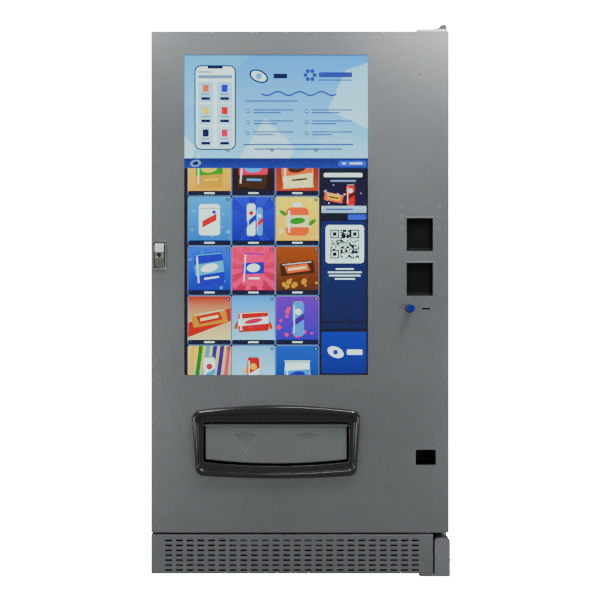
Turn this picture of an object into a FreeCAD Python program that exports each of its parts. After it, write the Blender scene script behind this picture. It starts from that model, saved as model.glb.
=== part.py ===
import FreeCAD, Part
import os

# Snack vending machine with a full-height front door, an upright display in the door and spiral trays.
# Millimetres. +X is to the right seen from the front, +Y goes back, +Z is up, and the front faces -Y.
# The origin is the centre of the footprint, on the floor. Each sub-part is written to parts/NAME.step.

V = FreeCAD.Vector
ALONG_X = V(1, 0, 0)
ALONG_Y = V(0, 1, 0)
ALONG_Z = V(0, 0, 1)

# ---------------------------------------------------------------- driving sizes
DOOR_WIDTH = 998.0
HEIGHT = 1829.0  # top of the door and of the cabinet
DEPTH = 918.0  # tip of the coin return button to the screws of the rear cover
DOOR_BOTTOM = 150.0
DOOR_THICKNESS = 72.0
SEAL_GAP = 8.0  # between the door's back and the cabinet's face
SHEET = 2.0  # sheet steel
LINER = 2.0  # moulded liner and trays
FIT = 0.05  # radial clearance of a shaft in its bore
GAP = 0.6  # clearance between pieces that move past each other

BRACKET_OVERHANG = 5.0  # the lower hinge bracket stands out past the door's edge
BUTTON_REACH = 38.0
REAR_COVER_STAND = 3.0

WALL_LEFT = 55.0  # insulated walls
WALL_TOP = 40.0
WALL_BACK = 41.0
WALL_DIVIDER = 30.0
FLOOR_THICKNESS = 40.0
CHAMBER_FLOOR = 340.0
BAY_WIDTH = 186.5  # service bay beside the chamber
BAY_RETURN = 14.0

BASE_BOTTOM = 20.0
BASE_RAIL = 40.0

KICK_BOTTOM = 12.0
KICK_TOP = 143.5
KICK_RIGHT_GAP = 53.2  # leaves room for the lower hinge bracket
KICK_COLUMNS = 24
KICK_ROWS = 7
KICK_PITCH_X = 35.9
KICK_PITCH_Z = 16.5
KICK_SLOT_LENGTH = 24.0
KICK_SLOT_HEIGHT = 6.0

HINGE_SIDE_ROOM = 0.2  # between a hinge bushing and the door's side flange
HINGE_FROM_FRONT = 40.0
PIN_RADIUS = 8.0
BUSHING_WALL = 1.8

DISPLAY_WIDTH = 614.7
DISPLAY_HEIGHT = 1071.7
DISPLAY_FROM_LEFT = 111.9
DISPLAY_FROM_TOP = 79.3
DISPLAY_DEPTH = 46.0
DISPLAY_LAP = 10.0
GLASS_THICKNESS = 4.0
PANEL_THICKNESS = 14.0
PANEL_AIR_GAP = 2.0  # between the glass and the lit panel

MOUTH_WIDTH = 486.0
MOUTH_TOP = 520.0
MOUTH_BOTTOM = 387.0
MOUTH_SAG = 14.0
BEZEL_WIDTH = 562.0
BEZEL_TOP = 557.0
BEZEL_RISE = 19.6
BEZEL_BOTTOM = 343.0
BEZEL_SAG = 10.0
BEZEL_TAPER = 10.0
BEZEL_DEPTH = 16.0
BEZEL_ROLL_SIDE = 15.0
BEZEL_ROLL_TOP = 24.0
BEZEL_ROLL_BOTTOM = 20.0

FLAP_GAP_SIDE = 6.0
FLAP_GAP_TOP = 6.0
FLAP_GAP_BOTTOM = 8.0
FLAP_THICKNESS = 5.0
FLAP_BACK_SET = 6.0
FLAP_ROD_RADIUS = 3.0
FLAP_BARREL_WALL = 2.5
TRIANGLE_WIDTH = 83.0
TRIANGLE_HEIGHT = 61.0
TRIANGLE_OFFSET = 103.0
TRIANGLE_DEPTH = 1.2

BIN_BOTTOM = 346.0
BIN_TOP = 600.0
BIN_REACH = 254.0
BIN_SIDE_ROOM = 7.0

LOCK_FROM_LEFT = 29.5
LOCK_FROM_TOP = 750.0
LOCK_WIDTH = 44.0
LOCK_HEIGHT = 95.0
LOCK_DEPTH = 26.0
LOCK_WALL = 2.5
LOCK_RIM = 5.0  # the recess stands out from the door's face
HANDLE_WIDTH = 32.0
HANDLE_HEIGHT = 79.0
HANDLE_THICKNESS = 30.0
HANDLE_TRAVEL = 22.0
LOCK_SHAFT_RADIUS = 8.0
LOCK_CYLINDER_RADIUS = 7.5
LOCK_BOLT_RADIUS = 5.0

PAYMENT_FROM_RIGHT = 98.1
PAYMENT_WIDTH = 88.0
PAYMENT_HEIGHT = 110.0
PAYMENT_TOPS = (626.0, 775.5)  # down from the top of the door
PAYMENT_DEPTH = 14.0
PAYMENT_LEDGE = 8.0

COIN_SLOT_FROM_RIGHT = 76.5
COIN_SLOT_FROM_TOP = 929.4
COIN_SLOT_WIDTH = 28.5
COIN_SLOT_HEIGHT = 5.0

BUTTON_FROM_RIGHT = 132.5
BUTTON_FROM_TOP = 928.4
BUTTON_RADIUS = 12.5
BUTTON_TRAVEL = 8.0

CUP_FROM_RIGHT = 78.0
CUP_WIDTH = 67.0
CUP_BOTTOM = 377.0
CUP_HEIGHT = 51.0
CUP_DEPTH = 44.0

SENSOR_FROM_TOP = 145.0
SENSOR_RADIUS = 2.3

TRAY_COUNT = 4
LANE_COUNT = 3
TRAY_FIRST_FLOOR = 650.0
TRAY_TOP_ROOM = 260.0
TRAY_SIDE_GAP = 8.0
TRAY_FRONT_SET = 191.0  # tray front behind the cabinet's face
TRAY_WALL_HEIGHT = 62.0
TRAY_FRONT_HEIGHT = 38.0
COIL_RADIUS = 58.0
COIL_WIRE = 2.5
COIL_TURNS = 7
COIL_FLOOR_GAP = 3.0
COIL_SHAFT_RADIUS = 4.0
MOTOR_WIDTH = 64.0
MOTOR_HEIGHT = 70.0
MOTOR_DEPTH = 26.0

FAN_RADIUS = 88.0
FAN_TIP_GAP = 5.0
FAN_HUB_RADIUS = 24.0
FAN_SHAFT_RADIUS = 4.0
EVAPORATOR_FAN_RADIUS = 66.0

REAR_MOUTH_SIDE = 60.0
REAR_LAP = 15.0

NUT_RADIUS = 11.0
NUT_LENGTH = 26.0

FOOT_RADIUS = 19.0
FOOT_STUD = 6.0
FOOT_INSET = 58.0

KICK_EDGE = 1.6

BRACKET_BOTTOM = 2.0
BRACKET_WIDTH = 52.4
BRACKET_FLANGE = 53.0
PIN_DEPTH = 40.0
ARM_THICKNESS = 8.0
PLATE_THICKNESS = 5.0
TOP_PLATE_THICKNESS = 7.0
TOP_PLATE_REACH = 96.0
LOWER_PLATE_REACH = 124.0
ARM_LIFT = 16.0  # underside of the upper hinge arm over the door's top
HEAD_HEIGHT = 8.0

WIRE_SIDES = 8  # the spiral's round wire is modelled with eight flats, which keeps its mesh light
COIL_FRONT_SET = 12.0
COIL_BACK_ROOM = 6.0
ARM_DEPTH = 8.0

GASKET_WIDTH = 13.0
BEZEL_BAND = 4.0

# ---------------------------------------------------------------- derived places
WIDTH = DOOR_WIDTH + BRACKET_OVERHANG
LEFT = -WIDTH / 2
RIGHT = LEFT + DOOR_WIDTH
FRONT = -DEPTH / 2 + BUTTON_REACH
REAR = DEPTH / 2
SKIN_BACK = FRONT + SHEET
DOOR_BACK = FRONT + DOOR_THICKNESS
CABINET_FRONT = DOOR_BACK + SEAL_GAP
CABINET_BACK = REAR - REAR_COVER_STAND

CHAMBER_LEFT = LEFT + WALL_LEFT
BAY_LEFT = RIGHT - BAY_WIDTH
CHAMBER_RIGHT = BAY_LEFT - WALL_DIVIDER
CHAMBER_TOP = HEIGHT - WALL_TOP
CHAMBER_BACK = CABINET_BACK - WALL_BACK
DECK_BOTTOM = CHAMBER_FLOOR - FLOOR_THICKNESS
BASE_TOP = BASE_BOTTOM + BASE_RAIL

HINGE_X = RIGHT - SHEET - HINGE_SIDE_ROOM - BUSHING_WALL - PIN_RADIUS
HINGE_Y = FRONT + HINGE_FROM_FRONT

DISPLAY_LEFT = LEFT + DISPLAY_FROM_LEFT
DISPLAY_RIGHT = DISPLAY_LEFT + DISPLAY_WIDTH
DISPLAY_TOP = HEIGHT - DISPLAY_FROM_TOP
DISPLAY_BOTTOM = DISPLAY_TOP - DISPLAY_HEIGHT
MOUTH_X = (DISPLAY_LEFT + DISPLAY_RIGHT) / 2
MOUTH_LEFT = MOUTH_X - MOUTH_WIDTH / 2
MOUTH_RIGHT = MOUTH_X + MOUTH_WIDTH / 2

BIN_LEFT = MOUTH_LEFT - BIN_SIDE_ROOM
BIN_RIGHT = MOUTH_RIGHT + BIN_SIDE_ROOM
BIN_BACK = SKIN_BACK + BIN_REACH

LOCK_X = LEFT + LOCK_FROM_LEFT
LOCK_Z = HEIGHT - LOCK_FROM_TOP
LOCK_FLOOR = FRONT + LOCK_DEPTH
BOLT_TIP = CABINET_FRONT - GAP

PAYMENT_X = RIGHT - PAYMENT_FROM_RIGHT
COIN_SLOT_X = RIGHT - COIN_SLOT_FROM_RIGHT
COIN_SLOT_Z = HEIGHT - COIN_SLOT_FROM_TOP
BUTTON_X = RIGHT - BUTTON_FROM_RIGHT
BUTTON_Z = HEIGHT - BUTTON_FROM_TOP
CUP_X = RIGHT - CUP_FROM_RIGHT

TRAY_LEFT = CHAMBER_LEFT + TRAY_SIDE_GAP
TRAY_RIGHT = CHAMBER_RIGHT - TRAY_SIDE_GAP
TRAY_FRONT = CABINET_FRONT + TRAY_FRONT_SET
TRAY_BACK = CHAMBER_BACK - MOTOR_DEPTH - 8.0
TRAY_PITCH = (CHAMBER_TOP - TRAY_TOP_ROOM - TRAY_FIRST_FLOOR) / (TRAY_COUNT - 1)
LANE_WIDTH = (TRAY_RIGHT - TRAY_LEFT) / LANE_COUNT
COIL_HEIGHT = LINER + COIL_FLOOR_GAP + COIL_RADIUS + COIL_WIRE

FLAP_TOP = MOUTH_TOP - FLAP_GAP_TOP
FLAP_BOTTOM = MOUTH_BOTTOM + FLAP_GAP_BOTTOM
FLAP_FRONT = FRONT + FLAP_BACK_SET
FLAP_AXIS_Y = FLAP_FRONT + FLAP_THICKNESS / 2
FLAP_BARREL_RADIUS = FLAP_ROD_RADIUS + FIT + FLAP_BARREL_WALL
FLAP_AXIS_Z = FLAP_TOP - FLAP_BARREL_RADIUS

REAR_MOUTH_BOTTOM = BASE_TOP + 20.0
REAR_MOUTH_TOP = DECK_BOTTOM - 20.0
CONDENSER_LEFT = LEFT + 260
CONDENSER_RIGHT = CONDENSER_LEFT + 380
CONDENSER_FRONT = CABINET_FRONT + 46
CONDENSER_BACK = CONDENSER_FRONT + 44
CONDENSER_X = (CONDENSER_LEFT + CONDENSER_RIGHT) / 2
CONDENSER_Z = (BASE_TOP + DECK_BOTTOM) / 2
FAN_Y = CONDENSER_BACK + 26
EVAPORATOR_LEFT = CHAMBER_LEFT + 60
EVAPORATOR_RIGHT = CHAMBER_RIGHT - 60
EVAPORATOR_FRONT = CHAMBER_BACK - 130
EVAPORATOR_TOP = CHAMBER_FLOOR + 258
EVAPORATOR_X = (EVAPORATOR_LEFT + EVAPORATOR_RIGHT) / 2
EVAPORATOR_Z = CHAMBER_FLOOR + 130
EVAPORATOR_FAN_Y = EVAPORATOR_FRONT + 18
PLUG_BACK = CABINET_FRONT + 25.0
PLUG_LEFT = CHAMBER_LEFT + 12.0
PLUG_RIGHT = CHAMBER_RIGHT - 10.0
PLUG_BOTTOM = CHAMBER_FLOOR + 3.0
PLUG_TOP = CHAMBER_TOP - 10.0
COIN_MECH_LEFT = BUTTON_X - 20
COIN_MECH_RIGHT = COIN_SLOT_X + 22
COIN_MECH_TOP = BUTTON_Z - 40
COIN_MECH_BOTTOM = COIN_MECH_TOP - 300
COIN_MECH_BACK = DOOR_BACK + 46


# ---------------------------------------------------------------- shape helpers
def box(x0, x1, y0, y1, z0, z1):
    return Part.makeBox(x1 - x0, y1 - y0, z1 - z0, V(x0, y0, z0))


def rod(radius, length, start, direction):
    return Part.makeCylinder(radius, length, start, direction)


def runs_along(edge, axis):
    if len(edge.Vertexes) != 2 or not isinstance(edge.Curve, Part.Line):
        return False
    span = edge.Vertexes[1].Point - edge.Vertexes[0].Point
    return span.cross(axis).Length < 1e-6 * span.Length


def round_along(shape, axis, radius):
    """Round every straight edge that runs along an axis."""
    return shape.makeFillet(radius, [edge for edge in shape.Edges if runs_along(edge, axis)])


def rounded_box(x0, x1, y0, y1, z0, z1, radius, axis=ALONG_Y):
    return round_along(box(x0, x1, y0, y1, z0, z1), axis, radius)


def hollow_box(x0, x1, y0, y1, z0, z1, wall, open_sides):
    """A box of sheet, open on the named sides."""
    reach = 2 * wall
    inner = box(
        x0 - reach if "-x" in open_sides else x0 + wall,
        x1 + reach if "+x" in open_sides else x1 - wall,
        y0 - reach if "-y" in open_sides else y0 + wall,
        y1 + reach if "+y" in open_sides else y1 - wall,
        z0 - reach if "-z" in open_sides else z0 + wall,
        z1 + reach if "+z" in open_sides else z1 - wall,
    )
    return box(x0, x1, y0, y1, z0, z1).cut(inner)


def obround(x, z, length, height, y0, y1):
    """A slot with round ends, cut through along Y."""
    radius = height / 2
    half = length / 2 - radius
    corners = [V(x - half, y0, z - radius), V(x + half, y0, z - radius)]
    corners += [V(x + half, y0, z + radius), V(x - half, y0, z + radius)]
    edges = [
        Part.LineSegment(corners[0], corners[1]).toShape(),
        Part.Arc(corners[1], V(x + length / 2, y0, z), corners[2]).toShape(),
        Part.LineSegment(corners[2], corners[3]).toShape(),
        Part.Arc(corners[3], V(x - length / 2, y0, z), corners[0]).toShape(),
    ]
    return Part.Face(Part.Wire(edges)).extrude(V(0, y1 - y0, 0))


def edge_between(start, end, bow):
    """A straight edge, or an arc whose middle is moved up by bow."""
    if bow == 0:
        return Part.LineSegment(start, end).toShape()
    return Part.Arc(start, (start + end) / 2 + V(0, 0, bow), end).toShape()


def arched_plate(x0, x1, z0, z1, sag, rise, taper, y0, y1, corner):
    """A plate seen from the front, with a bottom edge that bows down and a top edge that bows up."""
    low_left = V(x0 + taper, y0, z0)
    low_right = V(x1 - taper, y0, z0)
    top_right = V(x1, y0, z1)
    top_left = V(x0, y0, z1)
    edges = [
        edge_between(low_left, low_right, -sag),
        edge_between(low_right, top_right, 0),
        edge_between(top_right, top_left, rise),
        edge_between(top_left, low_left, 0),
    ]
    plate = Part.Face(Part.Wire(edges)).extrude(V(0, y1 - y0, 0))
    return round_along(plate, ALONG_Y, corner)


def save(name, *shapes):
    shape = shapes[0] if len(shapes) == 1 else Part.makeCompound(list(shapes))
    shape.exportStep("parts/" + name + ".step")


os.makedirs("parts", exist_ok=True)


# ---------------------------------------------------------------- cabinet
def cabinet_shell():
    """Wrap of painted sheet with a face frame round the chamber and the service bay."""
    outer = box(LEFT, RIGHT, CABINET_FRONT, CABINET_BACK, BASE_TOP, HEIGHT)
    inside = box(
        LEFT + SHEET, RIGHT - SHEET, CABINET_FRONT + SHEET, CABINET_BACK - SHEET, BASE_TOP - SHEET,
        HEIGHT - SHEET
    )
    reach_front = CABINET_FRONT - SHEET
    face_back = CABINET_FRONT + 2 * SHEET
    chamber_mouth = box(CHAMBER_LEFT, CHAMBER_RIGHT, reach_front, face_back, CHAMBER_FLOOR, CHAMBER_TOP)
    bay_mouth = box(BAY_LEFT, RIGHT - BAY_RETURN, reach_front, face_back, CHAMBER_FLOOR, CHAMBER_TOP)
    base_mouth = box(
        LEFT + BAY_RETURN, RIGHT - BAY_RETURN, reach_front, face_back, BASE_TOP - SHEET, DECK_BOTTOM - SHEET
    )
    nut_hole = rod(LOCK_BOLT_RADIUS + 2, 4 * SHEET, V(LOCK_X, CABINET_FRONT - SHEET, LOCK_Z), ALONG_Y)
    rear_mouth = box(
        LEFT + REAR_MOUTH_SIDE, RIGHT - REAR_MOUTH_SIDE, CABINET_BACK - 2 * SHEET, CABINET_BACK + SHEET,
        REAR_MOUTH_BOTTOM, REAR_MOUTH_TOP,
    )
    wrap = outer.cut([inside, chamber_mouth, bay_mouth, base_mouth, nut_hole, rear_mouth])
    return wrap.fuse(deck_and_divider()).removeSplitter()


def cabinet_insulation():
    """Foam between the shell and the liner, open at the front."""
    foam = box(
        LEFT + SHEET, BAY_LEFT - SHEET, CABINET_FRONT + SHEET, CABINET_BACK - SHEET,
        DECK_BOTTOM + SHEET, HEIGHT - SHEET
    )
    hollow = box(
        CHAMBER_LEFT - LINER, CHAMBER_RIGHT + LINER, CABINET_FRONT - SHEET, CHAMBER_BACK + LINER,
        CHAMBER_FLOOR - LINER, CHAMBER_TOP + LINER,
    )
    nut_room = rod(NUT_RADIUS + 2, NUT_LENGTH + 4, V(LOCK_X, CABINET_FRONT + SHEET - 1, LOCK_Z), ALONG_Y)
    return foam.cut([hollow, nut_room])


def cabinet_liner():
    return hollow_box(
        CHAMBER_LEFT - LINER, CHAMBER_RIGHT + LINER, CABINET_FRONT + SHEET, CHAMBER_BACK + LINER,
        CHAMBER_FLOOR - LINER, CHAMBER_TOP + LINER, LINER, ("-y",),
    )


def deck_and_divider():
    """Welded in: the deck under the chamber and the wall between the chamber and the service bay."""
    deck = box(
        LEFT + SHEET, RIGHT - SHEET, CABINET_FRONT + SHEET, CABINET_BACK - SHEET, DECK_BOTTOM,
        DECK_BOTTOM + SHEET
    )
    wall = box(
        BAY_LEFT - SHEET, BAY_LEFT, CABINET_FRONT + SHEET, CABINET_BACK - SHEET, DECK_BOTTOM, HEIGHT - SHEET
    )
    return deck.fuse(wall).removeSplitter()


def base_frame():
    """Welded frame of rectangular tube with a drip pan on top and holes for the levelling feet."""
    y0 = CABINET_FRONT
    y1 = CABINET_BACK
    tube_top = BASE_TOP - SHEET
    tubes = []
    hollows = []
    for x0 in (LEFT + SHEET, RIGHT - SHEET - BASE_RAIL):
        x1 = x0 + BASE_RAIL
        tubes.append(box(x0, x1, y0, y1, BASE_BOTTOM, tube_top))
        hollows.append(box(
            x0 + SHEET, x1 - SHEET, y0 + SHEET, y1 - SHEET, BASE_BOTTOM + SHEET, tube_top - SHEET
        ))
    for y in (y0, y1 - BASE_RAIL):
        x0 = LEFT + SHEET + BASE_RAIL
        x1 = RIGHT - SHEET - BASE_RAIL
        tubes.append(box(x0, x1, y, y + BASE_RAIL, BASE_BOTTOM, tube_top))
        hollows.append(box(
            x0 + SHEET, x1 - SHEET, y + SHEET, y + BASE_RAIL - SHEET, BASE_BOTTOM + SHEET,
            tube_top - SHEET
        ))
    pan = box(LEFT + SHEET, RIGHT - SHEET, y0, y1, tube_top, BASE_TOP)
    stud_holes = []
    for x, y in foot_places():
        stud_holes.append(rod(FOOT_STUD + FIT, 2 * SHEET, V(x, y, BASE_BOTTOM - 1), ALONG_Z))
    return tubes[0].fuse(tubes[1:] + [pan]).cut(hollows + stud_holes)


def foot_places():
    middle = BASE_RAIL / 2
    for x in (LEFT + SHEET + middle, RIGHT - SHEET - middle):
        for y in (CABINET_FRONT + FOOT_INSET, CABINET_BACK - FOOT_INSET):
            yield x, y


def leveling_feet():
    """Four feet on threaded studs with their lock nuts."""
    solids = []
    nut_height = 8.0
    for x, y in foot_places():
        pad = Part.makeCone(FOOT_RADIUS, FOOT_RADIUS - 8, 8.0, V(x, y, 0))
        stud = rod(FOOT_STUD, BASE_BOTTOM + 8, V(x, y, 4), ALONG_Z)
        nut = hex_prism(x, y, BASE_BOTTOM - nut_height, nut_height, 10.0)
        nut = nut.cut(rod(FOOT_STUD, 40.0, V(x, y, 0), ALONG_Z))
        solids += [pad.fuse(stud).removeSplitter(), nut]
    return solids


def hex_prism(x, y, z, height, radius):
    points = [V(radius, 0, 0)]
    turn = FreeCAD.Rotation(ALONG_Z, 60)
    for _ in range(6):
        points.append(turn.multVec(points[-1]))
    points[-1] = points[0]
    wire = Part.makePolygon([point + V(x, y, z) for point in points])
    return Part.Face(wire).extrude(V(0, 0, height))


def kick_panel():
    """Slotted panel under the door, folded back to the base frame."""
    x1 = RIGHT - KICK_RIGHT_GAP
    outer = box(LEFT, x1, FRONT, CABINET_FRONT, KICK_BOTTOM, KICK_TOP)
    front_edges = [
        edge for edge in outer.Edges if all(abs(vertex.Y - FRONT) < 1e-6 for vertex in edge.Vertexes)
    ]
    outer = outer.makeFillet(KICK_EDGE, front_edges)
    inner = box(
        LEFT + SHEET, x1 - SHEET, SKIN_BACK, CABINET_FRONT + 1, KICK_BOTTOM + SHEET,
        KICK_TOP - SHEET
    )
    middle_x = (LEFT + x1) / 2
    middle_z = (KICK_BOTTOM + KICK_TOP) / 2 - 3
    slots = []
    for column in range(KICK_COLUMNS):
        x = middle_x + (column - (KICK_COLUMNS - 1) / 2) * KICK_PITCH_X
        for row in range(KICK_ROWS):
            z = middle_z + (row - (KICK_ROWS - 1) / 2) * KICK_PITCH_Z
            slots.append(obround(x, z, KICK_SLOT_LENGTH, KICK_SLOT_HEIGHT, FRONT - 1, SKIN_BACK + 1))
    return outer.cut([inner] + slots)


def rear_cover():
    """Louvred cover over the refrigeration deck, with its screws."""
    x0 = LEFT + REAR_MOUTH_SIDE - REAR_LAP
    x1 = RIGHT - REAR_MOUTH_SIDE + REAR_LAP
    z0 = REAR_MOUTH_BOTTOM - REAR_LAP
    z1 = REAR_MOUTH_TOP + REAR_LAP
    plate_back = CABINET_BACK + SHEET
    plate = box(x0, x1, CABINET_BACK, plate_back, z0, z1)
    louvres = []
    for column in range(6):
        x = x0 + (x1 - x0) * (column + 0.5) / 6
        for row in range(9):
            z = z0 + (z1 - z0) * (row + 1) / 10
            louvres.append(obround(x, z, 110.0, 8.0, CABINET_BACK - 1, plate_back + 1))
    plate = plate.cut(louvres)
    screws = []
    for x in (x0 + REAR_LAP / 2, x1 - REAR_LAP / 2):
        for z in (z0 + REAR_LAP / 2, (z0 + z1) / 2, z1 - REAR_LAP / 2):
            screws.append(rod(4.5, REAR - plate_back, V(x, plate_back, z), ALONG_Y))
    return [plate] + screws


def lower_hinge_bracket():
    """Cast bracket with a foot flange, bored for the lower hinge pin."""
    right = RIGHT + BRACKET_OVERHANG
    top = KICK_TOP - 12.0
    front = FRONT + 3.0
    post = box(right - BRACKET_WIDTH, right, front, CABINET_FRONT, BRACKET_BOTTOM, top)
    top_edges = [
        edge for edge in post.Edges
        if runs_along(edge, ALONG_Y) and edge.Vertexes[0].Z > top - 1
    ]
    post = post.makeFillet(12.0, top_edges)
    flange = rounded_box(
        right - BRACKET_WIDTH - BRACKET_FLANGE, right, front - 1, CABINET_FRONT, BRACKET_BOTTOM,
        KICK_BOTTOM - GAP, 4.0,
    )
    bore = rod(PIN_RADIUS, 60.0, V(HINGE_X, HINGE_Y, top - PIN_DEPTH), ALONG_Z)
    return post.fuse(flange).removeSplitter().cut(bore)


def upper_hinge_arm():
    """Arm from the roof that carries the upper hinge pin over the door."""
    z0 = HEIGHT + ARM_LIFT
    roof_y = CABINET_FRONT + 12
    outline = [
        V(
            HINGE_X - 18, HINGE_Y - 8, z0), V(HINGE_X - 8, HINGE_Y - 18, z0), V(HINGE_X + 9,
            HINGE_Y - 18, z0
        ),
        V(HINGE_X + 12, HINGE_Y - 8, z0), V(HINGE_X + 12, roof_y, z0), V(HINGE_X - 6, roof_y + 110, z0),
        V(HINGE_X - 110, roof_y + 110, z0), V(HINGE_X - 110, roof_y, z0),
    ]
    arm = Part.Face(Part.makePolygon(outline + outline[:1])).extrude(V(0, 0, ARM_THICKNESS))
    pad = box(HINGE_X - 110, HINGE_X - 6, roof_y, roof_y + 110, HEIGHT, z0)
    bore = rod(PIN_RADIUS, 30.0, V(HINGE_X, HINGE_Y, z0 - 10), ALONG_Z)
    return arm.fuse(pad).cut(bore)


def hinge_pins():
    """Lower pin with its collar, and upper pin with spacer, washer and hex head."""
    bracket_top = KICK_TOP - 12.0
    plate_low = DOOR_BOTTOM - PLATE_THICKNESS
    lower = rod(PIN_RADIUS, PIN_DEPTH + 36, V(HINGE_X, HINGE_Y, bracket_top - PIN_DEPTH), ALONG_Z)
    collar = rod(
        PIN_RADIUS + 4, plate_low - GAP / 2 - bracket_top, V(HINGE_X, HINGE_Y, bracket_top),
        ALONG_Z
    )
    arm_top = HEIGHT + ARM_LIFT + ARM_THICKNESS
    upper = rod(PIN_RADIUS, arm_top - HEIGHT + 14, V(HINGE_X, HINGE_Y, HEIGHT - 14), ALONG_Z)
    spacer_low = HEIGHT + TOP_PLATE_THICKNESS + GAP / 2
    spacer = rod(PIN_RADIUS + 4, HEIGHT + ARM_LIFT - spacer_low, V(HINGE_X, HINGE_Y, spacer_low), ALONG_Z)
    washer = rod(13.0, 2.0, V(HINGE_X, HINGE_Y, arm_top), ALONG_Z)
    head = hex_prism(HINGE_X, HINGE_Y, arm_top + 2, HEAD_HEIGHT, 11.5)
    return lower.fuse(collar).removeSplitter(), upper.fuse([spacer, washer, head]).removeSplitter()


def compressor():
    """Hermetic compressor can on a foot plate."""
    x = LEFT + 190
    y = CABINET_BACK - 210
    z = BASE_TOP
    plate = rounded_box(x - 105, x + 105, y - 75, y + 75, z + 12, z + 16, 14.0, ALONG_Z)
    can = rod(78.0, 130.0, V(x, y, z + 16), ALONG_Z)
    can = can.makeFillet(38.0, [edge for edge in can.Edges if edge.BoundBox.ZMin > z + 140])
    parts = [can]
    for dx in (-88, 88):
        for dy in (-58, 58):
            parts.append(rod(11.0, 12.0, V(x + dx, y + dy, z), ALONG_Z))
    for dx in (-18, 18):
        parts.append(rod(5.0, 60.0, V(x + dx, y - 60, z + 130), ALONG_Z))
    return plate.fuse(parts).removeSplitter()


def finned_coil(x0, x1, y0, y1, z0, z1, fins, rows):
    """Fin pack threaded with tubes that show at both ends."""
    core = [box(x0, x1, y0 + 4, y1 - 4, z0, z1)]
    for index in range(fins):
        x = x0 + (x1 - x0 - 2) * index / (fins - 1)
        core.append(box(x, x + 2, y0, y1, z0, z1))
    for row in range(rows):
        z = z0 + (z1 - z0) * (row + 0.5) / rows
        core.append(rod(5.0, x1 - x0 + 20, V(x0 - 10, (y0 + y1) / 2, z), ALONG_X))
    return core[0].fuse(core[1:]).removeSplitter()


def fan_shroud():
    """Plate with a fan ring behind the condenser, and the motor on its cross bar."""
    y0 = CONDENSER_BACK + 1
    plate = box(CONDENSER_LEFT, CONDENSER_RIGHT, y0, y0 + SHEET, BASE_TOP, DECK_BOTTOM - 4)
    ring_radius = FAN_RADIUS + FAN_TIP_GAP
    ring = rod(ring_radius + SHEET, 44.0, V(CONDENSER_X, y0, CONDENSER_Z), ALONG_Y)
    motor_y = FAN_Y + 16
    bar = box(
        CONDENSER_X - ring_radius - 1, CONDENSER_X + ring_radius + 1, y0 + 40, y0 + 44,
        CONDENSER_Z - 14, CONDENSER_Z + 14
    )
    motor = rod(28.0, 46.0, V(CONDENSER_X, motor_y, CONDENSER_Z), ALONG_Y)
    shroud = plate.fuse(ring).cut(rod(ring_radius, 60.0, V(CONDENSER_X, y0 - 5, CONDENSER_Z), ALONG_Y))
    shaft_hole = rod(FAN_SHAFT_RADIUS + FIT, 30.0, V(CONDENSER_X, motor_y - 1, CONDENSER_Z), ALONG_Y)
    return shroud.fuse([bar, motor]).removeSplitter().cut(shaft_hole)


def fan(x, y, z, radius, hub_radius, blades, shaft_reach):
    """Bladed fan about an axis along Y, with its shaft reaching back."""
    hub = rod(hub_radius, 20.0, V(x, y - 10, z), ALONG_Y)
    pieces = [rod(FAN_SHAFT_RADIUS, shaft_reach, V(x, y + 9, z), ALONG_Y)]
    for index in range(blades):
        blade = box(hub_radius - 3, radius, -1.2, 1.2, -radius * 0.26, radius * 0.26)
        blade = round_blade(blade)
        blade.rotate(V(0, 0, 0), ALONG_X, 28)
        blade.rotate(V(0, 0, 0), ALONG_Y, 360.0 * index / blades)
        blade.translate(V(x, y, z))
        pieces.append(blade)
    return hub.fuse(pieces)


def round_blade(blade):
    far = blade.BoundBox.XMax
    edges = [
        edge for edge in blade.Edges if runs_along(edge, ALONG_Y) and edge.Vertexes[0].X > far - 1e-6
    ]
    return blade.makeFillet(9.0, edges)


def evaporator_housing():
    """Housing on the chamber floor with a round fan mouth, top slots and the motor bar."""
    shell = hollow_box(
        EVAPORATOR_LEFT, EVAPORATOR_RIGHT, EVAPORATOR_FRONT, CHAMBER_BACK, CHAMBER_FLOOR, EVAPORATOR_TOP,
        SHEET, ("+y",),
    )
    mouth = rod(
        EVAPORATOR_FAN_RADIUS + 5, 20.0, V(EVAPORATOR_X, EVAPORATOR_FRONT - 5, EVAPORATOR_Z),
        ALONG_Y
    )
    slots = []
    for index in range(12):
        x = EVAPORATOR_LEFT + (EVAPORATOR_RIGHT - EVAPORATOR_LEFT) * (index + 1) / 13
        slots.append(box(
            x - 12, x + 12, CHAMBER_BACK - 100, CHAMBER_BACK - 30, EVAPORATOR_TOP - 5,
            EVAPORATOR_TOP + 5
        ))
    bar_y = EVAPORATOR_FAN_Y + 14
    bar = box(EVAPORATOR_X - 14, EVAPORATOR_X + 14, bar_y, bar_y + 3, CHAMBER_FLOOR, EVAPORATOR_TOP - 1)
    motor = rod(20.0, 26.0, V(EVAPORATOR_X, bar_y, EVAPORATOR_Z), ALONG_Y)
    shaft_hole = rod(FAN_SHAFT_RADIUS + FIT, 20.0, V(EVAPORATOR_X, bar_y - 1, EVAPORATOR_Z), ALONG_Y)
    return shell.cut([mouth] + slots).fuse([bar, motor]).removeSplitter().cut(shaft_hole)


def evaporator_coil():
    return finned_coil(
        EVAPORATOR_LEFT + 30, EVAPORATOR_RIGHT - 30, CHAMBER_BACK - 62, CHAMBER_BACK - 12,
        CHAMBER_FLOOR + 6,
        EVAPORATOR_TOP - 20, 30, 5,
    )


def tray_floors():
    for index in range(TRAY_COUNT):
        yield TRAY_FIRST_FLOOR + index * TRAY_PITCH


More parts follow.
